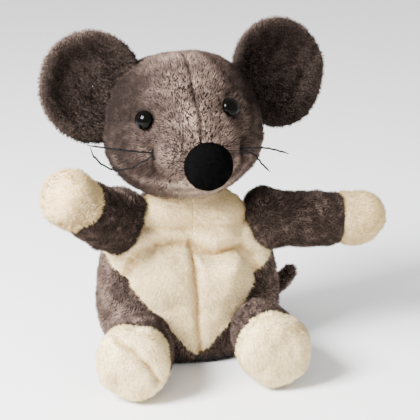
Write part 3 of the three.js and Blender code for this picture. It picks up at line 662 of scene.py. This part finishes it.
def build_neck():
    """The tube of plush between torso and head, which the collar and the head hide."""
    turn = full_turn(90)
    heights = NECK[2] + np.linspace(-9, 12, 16)
    rings = [np.stack([15 * np.cos(turn), NECK[1] + 15 * np.sin(turn), np.full(90, z)], 1) for z in heights]
    points = np.concatenate(rings)
    points = points + unit((points - NECK) * (1, 1, 0)) * (0.5 * waves(points, 9, 15))[:, None]
    surface = outwards((points, grid_faces(16, 90, True)), NECK)
    neck = cloth("neck_tube", surface, COATS["grey_plush"])
    placed(neck, rides("neck"), "grey_plush", "neck_ring")


def build_base():
    """The seat: a shallow cushion of woven cloth with a fuzzy rim. Its near black is the underside's dark
    grey with painted shadow under the body.
    """
    angles = full_turn(200)
    rows = []
    for t in np.linspace(0, math.pi, 17):
        z = 3.2 - 3.0 * math.cos(t)
        ring = torso_point(angles, np.full(200, z), 1.2 + 2.5 * (1 - math.sin(t)))
        ring[:, 2] = np.maximum(z, 0.1)
        rows.append(ring)
    for t in (0.7, 0.35, 0.02):
        rows.append(rows[16] * (t, t, 1) + (0, 0, 0.2))
    rows = [rows[0] * (t, t, 1) for t in (0.02, 0.35, 0.7)] + rows
    points = np.concatenate(rows)
    surface = outwards((points, grid_faces(len(rows), 200, True)), (0, 0, 3))
    seat = new_object("base_cloth", *surface, [COATS["dark_cloth"]])
    placed(seat, rides("torso"), "dark_cloth", "base_panel")
    rim = kept(*surface, np.abs(surface[0][surface[1]].mean(1)[:, 2] - 3.6) < 2.4)
    fuzz = pile("base_rim_pile", rim, "dark_cloth", evenly(0.5), down, 130, length=1.8, per_cm2=130)
    placed(fuzz, rides("torso"), "dark_cloth")


def back_y(x, z, inset):
    half_width, half_depth = torso_halves(z, inset)
    return half_depth * np.sqrt(np.maximum(1 - (x / half_width) ** 2, 0.02))


def oval(grow, count, inset):
    """Points of the hand opening's oval, on the back's curve."""
    turn = full_turn(count)
    x = (HAND_HOLE["half_width"] + grow) * np.cos(turn)
    z = HAND_HOLE["height"] + (HAND_HOLE["half_height"] + grow) * np.sin(turn)
    return np.stack([x, back_y(x, z, inset), z], 1)


def build_opening():
    """The binding round the hand opening, and the lining that shows through it."""
    count, sides = 180, 14
    path = oval(0.3, count, 1.8)
    forward = unit(np.roll(path, -1, 0) - np.roll(path, 1, 0))
    out = unit(np.cross(forward, (0, 1, 0)))
    over = np.cross(out, forward)
    puff = 1 + 0.06 * np.sin(np.arange(count) * 2 * math.pi / 5)  # between the stitches
    rings = []
    for k in range(sides):
        angle = 2 * math.pi * k / sides
        way = math.cos(angle) * out + math.sin(angle) * over
        rings.append(path + (BINDING_RADIUS * puff)[:, None] * way)
    points = np.stack(rings).reshape(-1, 3)
    faces = np.concatenate([grid_faces(sides, count, True), closing_faces(sides, count)])
    tape = new_object("hand_opening_tape", points, faces, [COATS["dark_cloth"]])
    fix_normals(tape)
    placed(tape, rides("torso"), "dark_cloth", "hand_opening_binding")

    rows = []
    depth = LINING_INSET + 1
    for share in np.linspace(0, 1, 14):
        grow = -1.5 - 1.5 * math.sin(share * math.pi / 2) + 0.6 * math.sin(share * 7)
        rows.append(oval(grow, count, 2.5 + depth * share))
    throat = np.concatenate(rows), grid_faces(len(rows), count, True)
    angles = full_turn(160)
    bag = []
    for z in np.linspace(6, 99, 60):
        inset = LINING_INSET + 1.2 * waves(np.array([[z, 0, 0]]), 20, 12)[0]
        bag.append(torso_point(angles, np.full(160, z), inset))
    bag = np.concatenate(bag)
    bag = bag + unit(bag * (1, 1, 0)) * (1.2 * waves(bag, 16, 13))[:, None]
    faces = grid_faces(60, 160, True)
    centres = bag[faces].mean(1)
    bag, faces = kept(bag, faces, (hole_share(centres, 3) > 1) | (centres[:, 1] < 0))
    inner = cloth("hand_bag_lining", (bag, faces[:, ::-1]), COATS["lining_cloth"], 0.6)
    collar = cloth("hand_opening_lining", throat, COATS["lining_cloth"], 0.6)
    placed(inner, rides("torso"), "lining_cloth", "body_lining")
    placed(collar, rides("torso"), "lining_cloth")


def closing_faces(rows, cols):
    """Quads from a grid's last row back to its first."""
    c = np.arange(cols)
    nxt = (c + 1) % cols
    last = (rows - 1) * cols
    return np.stack([last + c, last + nxt, nxt, c], -1)


def fix_normals(made):
    """Turns a closed mesh's faces outwards."""
    work = bmesh.new()
    work.from_mesh(made.data)
    bmesh.ops.recalc_face_normals(work, faces=work.faces)
    work.to_mesh(made.data)
    work.free()


# ---- Limbs -------------------------------------------------------------------


def limb_surface(at, aim, start, end, radius_at, rows, relief):
    """A surface round an axis between two distances from the joint. radius_at gives (radius, distance)."""
    axes = axis_frame(aim)
    share = np.linspace(0, 1, rows)
    radius, along = radius_at(start + (end - start) * share)
    turn = full_turn(LIMB_COLUMNS)
    ring = np.stack([np.cos(turn), 0 * turn, np.sin(turn)], -1)
    local = radius[:, None, None] * ring + along[:, None, None] * np.array((0, 1, 0))
    points = local.reshape(-1, 3) @ axes.T + at
    faces = grid_faces(rows, LIMB_COLUMNS, True)
    points, faces = outwards((points, faces), at + axes[:, 1] * (start + end) / 2)
    normals = point_normals(points, faces)
    return points + normals * relief(points, local.reshape(-1, 3))[:, None], faces


def along_aim(aim):
    return lambda p: np.broadcast_to(unit(aim), p.shape)


def build_arm(side, n):
    at = SHOULDER[side]
    paw = middle(f"{side}_paw_cover")
    aim = unit(paw - at)
    inset = BASE_COAT_DEPTH
    root = ARM_RADIUS - inset

    def sleeve_radius(t):
        """t runs along the outline: round the root, then along the sleeve."""
        ball = np.minimum(t, 0)
        radius = np.where(t < 0, np.sqrt(np.maximum(root**2 - ball**2, 0.01)), root)
        seam = SEAM_DIP * bump(t - SLEEVE_LENGTH, SEAM_WIDTH)
        swell = 0.8 * np.sin(np.clip(t / SLEEVE_LENGTH, 0, 1) * math.pi)
        return radius - seam + swell, np.where(t < 0, ROOT_FLATNESS * t, t)

    def paw_radius(t):
        centre = ARM_LENGTH - ARM_RADIUS
        turn = np.clip((t - centre) / (ARM_LENGTH - centre), 0, 1) * math.pi / 2
        along = np.where(t < centre, t, centre + root * np.sin(turn))
        radius = np.where(t < centre, root, root * np.cos(turn))
        seam = SEAM_DIP * bump(t - SLEEVE_LENGTH, SEAM_WIDTH)
        return np.maximum(radius + 0.5 * np.sin(turn * 2) - seam, 0.05), along

    upper_swell = 8.0 if side == "right" else 5.0  # the plush bunches up where the arm meets the body

    def sleeve_relief(p, local):
        top = smooth_step(unit(local * (1, 0, 1))[:, 2], 0.1, 0.9) * bump(local[:, 1] - 2, 15)
        wrinkle = 0.9 * np.sin(local[:, 1] / 4.3 + 1.8 * waves(p, 26, 21 + n)) * bump(local[:, 1] - 6, 14)
        return 0.9 * waves(p, 24, 22 + n) + 0.4 * waves(p, 10, 24 + n) + wrinkle + upper_swell * top

    def paw_relief(p, _):
        return 0.9 * waves(p, 22, 26 + n)

    sleeve = limb_surface(at, aim, 0.1 - root, SLEEVE_LENGTH, sleeve_radius, 80, sleeve_relief)
    hand = limb_surface(at, aim, SLEEVE_LENGTH, ARM_LENGTH, paw_radius, 44, paw_relief)
    hold = rides(f"{side}_arm")
    nodes = [f"{side}_arm_sleeve", f"{side}_shoulder_gusset"]
    dressed(f"{side}_arm_sleeve", sleeve, "grey_plush", nodes, hold,
            lambda p: 0.50 + 0.09 * waves(p, 20, 28 + n) + 0.05 * waves(p, 8, 32 + n), along_aim(aim),
            140 + n, fill=0.6)
    dressed(f"{side}_paw", hand, "cream_plush", [f"{side}_paw_cover"], hold,
            lambda p: 0.46 + 0.1 * waves(p, 18, 30 + n), along_aim(aim), 150 + n, fill=0.8, length=2.9)


def build_leg(side, n):
    at = HIP[side]
    aim = unit(middle(f"{side}_foot_sole") - at)
    inset = BASE_COAT_DEPTH
    root = LEG_ROOT_RADIUS - inset

    def leg_radius(t):
        share = np.clip(t / SOLE_SEAM, 0, 1)
        outside = LEG_ROOT_RADIUS + (FOOT_RADIUS - LEG_ROOT_RADIUS) * np.sin(math.pi / 2 * share) - inset
        ball = np.sqrt(np.maximum(root**2 - np.minimum(t, 0) ** 2, 0.01))
        seam = SEAM_DIP * bump(t - LEG_SLEEVE, SEAM_WIDTH) + SOLE_DIP * bump(t - SOLE_SEAM, SOLE_WIDTH)
        return np.where(t < 0, ball, outside) - seam, t

    def sole_radius(t):
        turn = (t - SOLE_SEAM) / SOLE_DEPTH * math.pi / 2
        out = np.maximum(np.cos(turn), 0) ** 0.8 * (FOOT_RADIUS - inset)
        seam = SOLE_DIP * bump(t - SOLE_SEAM, SOLE_WIDTH)
        return np.maximum(out - seam, 0.05), SOLE_SEAM + np.sin(turn) * (SOLE_DEPTH - inset)

    def crease(p, width):
        """The crease across the right sole."""
        return bump(line_distance(p[:, [0, 2]], SOLE_CREASE)[0], width) * (side == "right")

    def relief(p, local):
        out = 0.9 * waves(p, 26, 41 + n) + 0.3 * waves(p, 11, 43 + n)
        return out - 4.0 * crease(p, 2.6) * (local[:, 1] > SOLE_SEAM - 4)

    hold = rides(f"{side}_leg")
    thigh = limb_surface(at, aim, -root + 0.5, LEG_SLEEVE, leg_radius, 50, relief)
    upper = limb_surface(at, aim, LEG_SLEEVE, SOLE_SEAM, leg_radius, 16, relief)
    sole = limb_surface(at, aim, SOLE_SEAM, SOLE_SEAM + SOLE_DEPTH, sole_radius, 36, relief)
    comb = along_aim(aim + np.array((0, 0, -0.3)))
    dressed(f"{side}_leg", thigh, "grey_plush", [f"{side}_leg_sleeve"], hold,
            lambda p: 0.52 + 0.09 * waves(p, 20, 45 + n) + 0.05 * waves(p, 8, 51 + n), comb,
            160 + n, fill=0.7)
    dressed(f"{side}_foot_upper", upper, "cream_plush", [f"{side}_foot_upper"], hold,
            lambda p: 0.78 + 0.1 * waves(p, 18, 47 + n), comb, 170 + n, fill=0.8)
    dressed(f"{side}_foot_sole", sole, "cream_plush", [f"{side}_foot_sole"], hold,
            # The sole darkens along its crease: painted shade.
            lambda p: 0.88 + 0.1 * waves(p, 18, 49 + n) - 0.5 * crease(p, 1.8), down,
            180 + n, fill=0.8, length=2.4)


# ---- Tail --------------------------------------------------------------------


def curve_points(points, count):
    """Even points on a smooth curve through the given ones."""
    points = np.array(points, float)
    extended = np.vstack([2 * points[0] - points[1], points, 2 * points[-1] - points[-2]])
    fine = []
    for i in range(1, len(extended) - 2):
        a, b, c, d = extended[i - 1 : i + 3]
        t = np.linspace(0, 1, 40, endpoint=False)[:, None]
        square, cube = 2 * a - 5 * b + 4 * c - d, 3 * b - a - 3 * c + d
        fine.append(0.5 * (2 * b + (c - a) * t + square * t**2 + cube * t**3))
    fine = np.vstack([*fine, extended[-2:-1]])
    run = np.concatenate([[0], np.cumsum(np.linalg.norm(np.diff(fine, axis=0), axis=1))])
    at = np.linspace(0, run[-1], count)
    return np.stack([np.interp(at, run, fine[:, k]) for k in range(3)], 1)


def tube(points, radii, sides):
    """A closed tube round a line of points."""
    forward = unit(np.gradient(points, axis=0))
    across = unit(np.cross(forward, (0.05, 0.03, 1.0)))
    over = np.cross(across, forward)
    turn = full_turn(sides)
    rings = points[:, None] + radii[:, None, None] * (
        np.cos(turn)[None, :, None] * across[:, None] + np.sin(turn)[None, :, None] * over[:, None]
    )
    return rings.reshape(-1, 3), grid_faces(len(points), sides, True)


def build_tail():
    path = curve_points(TAIL_PATH, TAIL_RINGS)
    share = np.linspace(0, 1, TAIL_RINGS)
    radii = (TAIL_RADIUS - BASE_COAT_DEPTH + 1.6) * np.sqrt(np.maximum(1 - share**24, 0.002))
    points, faces = tube(path, radii, TAIL_SIDES)
    normals = point_normals(points, faces)
    near = path[np.repeat(np.arange(TAIL_RINGS), TAIL_SIDES)]
    if (normals * (points - near)).sum() < 0:
        faces = faces[:, ::-1]
    points = points + unit(points - near) * (0.4 * waves(points, 14, 52))[:, None]
    hold = blends()

    def comb(p):
        nearest = np.argmin(((p[:, None] - path[None]) ** 2).sum(-1), 1)
        return unit(np.gradient(path, axis=0))[nearest]

    dressed("tail", (points, faces), "grey_plush", ["tail_skin"], hold,
            lambda p: 0.72 + 0.08 * waves(p, 15, 53), comb, 190, fill=0.8, length=2.6)


# ---- Head --------------------------------------------------------------------

HEAD_AXES = turn_matrix(*HEAD_TURN)
SKULL = NECK + HEAD_AXES @ HEAD_CENTRE


def from_head(p):
    return np.asarray(p, float) @ HEAD_AXES.T + SKULL


def to_head(p):
    return (np.asarray(p, float) - SKULL) @ HEAD_AXES


class HeadShape:
    """The head's surface by direction from the skull's centre, read from the CAD and smoothed."""

    ROWS, COLS = 150, 240

    def __init__(self):
        self.side, self.along = np.array((1.0, 0, 0)), SNOUT_AXIS
        up = np.cross(self.side, self.along)
        self.up = up if up[2] > 0 else -up
        tree, owners = cad_tree("head_skin_left", "head_skin_right", "chin_panel")
        directions = self.directions()
        radius = np.full(directions.shape[:2], np.nan)
        chin = np.zeros(directions.shape[:2], bool)
        for i in range(self.ROWS):
            for j in range(self.COLS):
                way = Vector(HEAD_AXES @ directions[i, j])
                hit, _, face, _ = tree.ray_cast(Vector(SKULL) + way * 150, -way, 150)
                if hit is not None and (hit - Vector(SKULL)).length > 40:
                    radius[i, j] = (hit - Vector(SKULL)).length
                    chin[i, j] = owners[face] == "chin_panel"
        self.chin = chin
        self.radius = self.smoothed(radius)

    def directions(self):
        polar = np.linspace(0.0, math.pi, self.ROWS)[:, None]
        turn = np.linspace(-math.pi / 2, 1.5 * math.pi, self.COLS, endpoint=False)[None]
        return (np.cos(polar)[..., None] * self.along
                + (np.sin(polar) * np.cos(turn))[..., None] * self.side
                + (np.sin(polar) * np.sin(turn))[..., None] * self.up)

    def smoothed(self, radius):
        known = ~np.isnan(radius)
        filled = np.where(known, radius, np.nanmean(radius[:60]))
        for _ in range(500):
            filled = np.where(known, radius, self.averaged(filled))
        for _ in range(14):
            filled = self.averaged(filled)
        return filled

    def averaged(self, values):
        first, last = (np.roll(row, self.COLS // 2, 1) for row in (values[:1], values[-1:]))
        padded = np.vstack([first, values, last])
        mean = (padded[:-2] + padded[2:] + np.roll(values, 1, 1) + np.roll(values, -1, 1)) / 4
        mean[0], mean[-1] = mean[0].mean(), mean[-1].mean()
        return mean

    def radius_towards(self, p):
        """The head's radius in the direction of points in the head's frame."""
        d = unit(p)
        polar = np.arccos(np.clip(d @ self.along, -1, 1))
        turn = np.arctan2(d @ self.up, d @ self.side)
        row = np.clip(np.rint(polar / math.pi * (self.ROWS - 1)).astype(int), 0, self.ROWS - 1)
        col = np.rint((turn + math.pi / 2) / (2 * math.pi) * self.COLS).astype(int) % self.COLS
        return self.radius[row, col]


def on_head(way):
    """Where a direction from the skull's centre meets the head, in the head's frame."""
    return HEAD.radius_towards(np.array([way], float))[0] * unit(way)


def whisker_dart(side):
    """The sewn crease from a whisker's root down round the muzzle, in the head's frame."""
    sign = SIDES[side]
    start = on_head(WHISKER_AT[side])
    return [start + (1.0 * sign, 1, 4), start, start + (0.5 * sign, 4, -11), start + (-5.0 * sign, 7, -26)]


def head_relief(p):
    """How far the head's cloth stands out, at points in the head's frame."""
    x, y, z = p[..., 0], p[..., 1], p[..., 2]
    upper = smooth_step(z, -12, 0) * smooth_step(-y, -40, -10)
    crooked = x - 0.5 * np.sin(z / 6)
    out = 0.7 * waves(p, 34, 61) + 0.3 * waves(p, 13, 62)
    out = out - upper * 1.5 * bump(crooked, 1.8) - 0.5 * bump(x, 2.0) * (1 - upper)
    for side, sign in SIDES.items():
        out = out - 2.6 * spot(p, on_head(EYE_AT[side]), 8.5)
        distance, share = line_distance(p, whisker_dart(side))
        out = out - (3.5 + 2.5 * np.sin(share * math.pi)) * bump(distance, 2.2)
        start = whisker_dart(side)[0]
        muzzle = start + (-9.0 * sign, -3, -6)
        out = out + 2.0 * spot(p, muzzle, 9)
        cheek = start + (10.0 * sign, 8, -8)
        out = out + 2.2 * spot(p, cheek, 12)
        temple = on_head((44.0 * sign, -30, 22))
        out = out - 1.5 * spot(p, temple, 12)
    return out - 2.0 * spot(p, on_head((0, -52, -34)), 5)


def head_tone(p):
    """Lighter along the forehead's middle and the muzzle, darker towards the ears and the back. The
    darkening at the sides, far stronger on the right side, along the whisker darts and round the ears' roots
    is painted shade.
    """
    q = to_head(p)
    middle_band = bump(q[:, 0], 20) * smooth_step(-q[:, 1], -30, 30)
    muzzle = spot(q, (0, -58, -14), 30)
    # Painted shade at the head's sides, much more on the right side.
    sides = smooth_step(np.abs(q[:, 0]), 26, 56) * np.where(q[:, 0] < 0, 0.24, 0.04)
    seam = bump(q[:, 0] - 0.5 * np.sin(q[:, 2] / 6), 1.3) * smooth_step(q[:, 2], -10, 4)
    patches = 0.09 * waves(q, 16, 63) + 0.05 * waves(q, 7, 64)
    under = 0.05 * smooth_step(-q[:, 2], 20, 42) * smooth_step(-q[:, 1], 10, 40)
    # Painted shade along the whisker darts and round the ears' roots.
    dart_shade = np.max([bump(line_distance(q, whisker_dart(side))[0], 2.4) for side in SIDES], axis=0)
    ear_root_shade = np.max([spot(q, EAR_ROOT[side], 24) for side in SIDES], axis=0)
    bright = 0.54 + 0.20 * middle_band + 0.10 * muzzle + under
    return bright - sides - 0.34 * seam - 0.42 * dart_shade - 0.5 * ear_root_shade + patches


def head_comb(p):
    """Brushed back from the nose, and up over the forehead."""
    nose = from_head(70 * SNOUT_AXIS)
    return p - nose + np.array((0, 0, 6.0))


def build_head():
    directions = HEAD.directions()
    local = directions * (HEAD.radius - BASE_COAT_DEPTH)[..., None]
    local = local + directions * head_relief(local)[..., None]
    rows, cols = HEAD.radius.shape
    points = from_head(local.reshape(-1, 3))
    faces = grid_faces(rows, cols, True)
    points, faces = outwards((points, faces), SKULL)
    face_cols = np.tile(np.arange(cols), rows - 1)
    chin = HEAD.chin.reshape(-1)[faces].sum(1) >= 3
    hold = rides("head")
    for n, (side, sign) in enumerate(SIDES.items()):
        half = face_cols < cols // 2 if sign > 0 else face_cols >= cols // 2
        panel = kept(points, faces, half & ~chin)
        dressed(f"head_{side}", panel, "grey_plush", [f"head_skin_{side}"], hold, head_tone, head_comb,
                200 + n, fill=0.9, per_cm2=150, length=2.5)
    dressed("chin", kept(points, faces, chin), "chin_plush", ["chin_panel"], hold,
            head_tone, head_comb, 210, fill=0.9, per_cm2=150, length=2.3)


# ---- Ears --------------------------------------------------------------------


def build_ear(side, n):
    sign = SIDES[side]
    centre = np.array(EAR_AT[side], float)
    yaw = math.radians(EAR_YAW * sign)
    facing = np.array((math.sin(yaw), -math.cos(yaw), 0))
    across = np.cross(facing, (0, 0, 1))
    up = np.array((0, 0, 1.0))
    shares = np.sin(np.linspace(0.01, math.pi / 2, 46))
    turns = full_turn(150)
    share, turn = np.meshgrid(shares, turns, indexing="ij")
    # A thick soft rim round a cupped middle.
    rim = np.sqrt(np.maximum(1 - ((share - 0.80) / 0.20) ** 2, 0)) * (share > 0.8)
    thick = np.where(share > 0.8, 5.2 * rim, 2.2 + 3.0 * smooth_step(share, 0.55, 0.8))
    dish = -EAR_CUP * (1 - share**2)
    flat = (across * (EAR_HALF_WIDTH - 1.8)) * (share * np.cos(turn))[..., None]
    flat = flat + (up * (EAR_HALF_HEIGHT - 1.8)) * (share * np.sin(turn))[..., None]
    root = centre * (1, 0, 1)
    root = root * ((HEAD.radius_towards(root[None])[0] - 1) / np.linalg.norm(root))
    blend = blends()
    for face, way in (("front", 1), ("back", -1)):
        out = dish + way * thick
        local = centre + flat + facing * out[..., None]
        flutter = 0.9 * waves(local, 30, 70 + n) + 0.4 * waves(local, 12, 72 + n)
        local = local + facing * flutter[..., None]
        points = local.reshape(-1, 3)
        faces = grid_faces(*share.shape, True)
        outside = np.linalg.norm(points, axis=1) > HEAD.radius_towards(points) - 4.5
        points, faces = kept(points, faces, outside[faces].any(1))
        if (face_normals(points, faces) @ facing).sum() * way < 0:
            faces = faces[:, ::-1]

        def tone(p):
            q = (to_head(p) - centre) / (EAR_HALF_WIDTH, 1, EAR_HALF_HEIGHT)
            edge = np.hypot(q[:, 0], q[:, 2])
            # Painted highlight round the rim, on the front and the back.
            rim_highlight = 0.42 * smooth_step(edge, 0.72, 1.0)
            if way < 0:
                return 0.5 + 0.3 * rim_highlight
            # The front darkens towards the head and downwards: painted shade in the cup.
            return 0.34 - 0.30 * smooth_step(-q[:, 0] * sign - q[:, 2], -0.6, 0.7) + rim_highlight

        def comb(p):
            return (to_head(p) - centre) @ HEAD_AXES.T

        surface = from_head(points), faces
        dressed(f"{side}_ear_{face}", surface, "grey_plush", [f"{side}_ear_{face}"], blend, tone, comb,
                220 + 10 * n + way, fill=0.3, palette="ear_shade", length=2.3, per_cm2=120)


# ---- Face trims ----------------------------------------------------------------


def lathe_mesh(name, outline, at, axis, material):
    """A turned piece: (radius, height) points about an axis, smooth."""
    axes = axis_frame(axis)
    turn = full_turn(LATHE_COLUMNS)
    rings = [[(r * math.cos(a), h, r * math.sin(a)) for a in turn] for r, h in outline]
    points = np.array(rings).reshape(-1, 3) @ axes.T + at
    surface = outwards((points, grid_faces(len(outline), LATHE_COLUMNS, True)), at)
    return new_object(name, *surface, [material])


def build_eyes():
    material, tree, principled = shader("eye_gloss", 0.1, Specular_IOR_Level=0.07)
    noise = textured(tree, "ShaderNodeTexNoise", Scale=400.0, Detail=2.0)
    two_tones(tree, principled, noise.outputs["Fac"], BLACK, (0.0015, 0.0013, 0.001))
    dome = np.linspace(0, math.pi / 2 - 0.004, 18)
    for side in SIDES:
        tip, axis = washer_axis(f"{side}_eye", f"{side}_eye_washer")
        foot = tip - axis * EYE_HEIGHT
        outline = [(0.02, -2.0), (4.5, -2.0), (EYE_RADIUS * 0.93, -1.2), (EYE_RADIUS, -0.5)]
        outline += [(EYE_RADIUS * math.cos(t), EYE_HEIGHT * math.sin(t)) for t in dome]
        made = lathe_mesh(f"{side}_eye_dome", outline, foot, axis, material)
        placed(made, rides("head"), "eye_plastic", f"{side}_eye")


def build_nose():
    tip, axis = washer_axis("nose", "nose_washer")
    centre = tip - axis * NOSE_HALF[1]
    turn = full_turn(120)
    polar = np.linspace(0.01, math.pi - 0.01, 70)
    ring = np.stack(np.meshgrid(polar, turn, indexing="ij"), -1)
    shape = np.stack([
        np.sin(ring[..., 0]) * np.cos(ring[..., 1]),
        np.cos(ring[..., 0]),
        np.sin(ring[..., 0]) * np.sin(ring[..., 1]),
    ], -1) * (NOSE_HALF - 0.4)
    surface = shape.reshape(-1, 3) @ axis_frame(axis).T + centre, grid_faces(70, 120, True)
    points, faces = outwards(surface, centre)
    points = points + unit(points - centre) * (0.15 * waves(points, 8, 81))[:, None]
    ball = new_object("nose_ball", points, faces, [COATS["nose_flock"]])
    fuzz = pile("nose_pile", (points, faces), "nose_flock", evenly(0.5), down, 240,
                per_cm2=700, length=0.6, width=0.12, lean=0.2, loose=0.5)
    placed(ball, rides("head"), "nose_flock", "nose")
    placed(fuzz, rides("head"), "nose_flock")


def build_whiskers():
    light = (0.0018, 0.0016, 0.0015)
    material = mottled("whisker_fibre", BLACK, light, 3000, 0.6, 0.2, Specular_IOR_Level=0.15)
    for side in SIDES:
        for level in ("upper", "lower"):
            name = f"{side}_{level}_whisker"
            points = cad_points(name)
            unique = np.unique(np.round(points, 3), axis=0)
            start = unique[np.argmin(np.abs(unique[:, 0]))]
            order = np.argsort(np.linalg.norm(unique - start, axis=1))
            count = max(len(unique) // 5, 2)
            centres = np.array([unique[g].mean(0) for g in np.array_split(order, count)])
            inside = centres[0] - unit(centres[1] - centres[0]) * 3
            beyond = [upper_end + (1.5, 0, -1)] if name == "right_lower_whisker" else []
            upper_end = centres[-1]
            path = curve_points(np.vstack([inside, centres, *beyond]), WHISKER_RINGS)
            radii = np.full(WHISKER_RINGS, WHISKER_RADIUS)
            radii[-8:] *= np.linspace(1, 0.35, 8)
            surface, faces = tube(path, radii, WHISKER_SIDES)
            ends = np.array([[0, 1, 2, 3], [0, 3, 4, 5], [0, 5, 6, 7], [0, 7, 8, 9]])
            last_ring = WHISKER_SIDES * (WHISKER_RINGS - 1)
            faces = np.concatenate([faces, ends[:, ::-1], ends + last_ring])
            made = new_object(f"{name}_thread", surface, faces, [material])
            fix_normals(made)
            placed(made, rides("head"), "whisker_thread", name)


# ---- CAD pieces that stay ------------------------------------------------------


def finish_cad_nodes():
    """Wadding, pockets and washers stay and get their materials. All other nodes are replaced."""
    washer = mottled("washer_moulded", (0.72, 0.71, 0.68), (0.82, 0.81, 0.78), 600, 0.45, 0.1)
    coats = {"stuffing": COATS["wadding"], "pocket": COATS["lining_cloth"], "washer": washer}
    for name, node in frame["nodes"].items():
        node.data.materials.clear()
        node.data.materials.append(coats.get(name.split("_")[-1], COATS["grey_plush"]))
        if name.endswith("_stuffing"):
            joined = node.modifiers.new("joined", "WELD")
            joined.merge_threshold = 0.05 * MM
            slack = node.modifiers.new("slack", "DISPLACE")
            slack.mid_level = 0
            slack.strength = -STUFFING_SLACK * MM


# ---- Stage -------------------------------------------------------------------


def aimed(name, data, target, azimuth, elevation, distance):
    """A lamp or camera that looks at a target from some way off."""
    a, e = math.radians(azimuth), math.radians(elevation)
    back = Vector((math.sin(a) * math.cos(e), -math.cos(a) * math.cos(e), math.sin(e)))
    made = in_scene(name, data)
    made.location = Vector(target) + back * distance
    made.rotation_euler = back.to_track_quat("Z", "Y").to_euler()
    return made


def build_stage():
    mesh = bpy.data.meshes.new("floor")
    corners = [(FLOOR_HALF * x, FLOOR_HALF * y, 0) for x, y in ((-1, -1), (1, -1), (1, 1), (-1, 1))]
    mesh.from_pydata(corners, [], [(0, 1, 2, 3)])
    floor = in_scene("floor", mesh)
    mesh.materials.append(shader("pale_floor", 0.9, Base_Color=(0.95, 0.95, 0.95, 1))[0])

    world = bpy.data.worlds.new("studio")
    world.use_nodes = True
    sky = world.node_tree.nodes["Background"]
    sky.inputs["Color"].default_value = (1, 1, 1, 1)
    sky.inputs["Strength"].default_value = SKY_STRENGTH
    bpy.context.scene.world = world

    for name, (place, side, watts) in LAMPS.items():
        lamp = bpy.data.lights.new(name, "AREA")
        lamp.size = side
        lamp.energy = watts
        aimed(name, lamp, LIGHT_AT, *place)


def build_camera():
    lens = bpy.data.cameras.new("camera")
    lens.sensor_width = SENSOR_WIDTH
    lens.lens = SENSOR_WIDTH * LOOK_FROM[2] / LOOK_WIDTH
    bpy.context.scene.camera = aimed("camera", lens, LOOK_AT, *LOOK_FROM)


build_camera()
build_stage()
finish_cad_nodes()
build_torso()
build_neck()
build_base()
build_opening()
for n, side in enumerate(SIDES):
    build_arm(side, n)
    build_leg(side, n)
build_tail()
HEAD = HeadShape()
build_head()
for n, side in enumerate(SIDES):
    build_ear(side, n)
build_eyes()
build_nose()
build_whiskers()
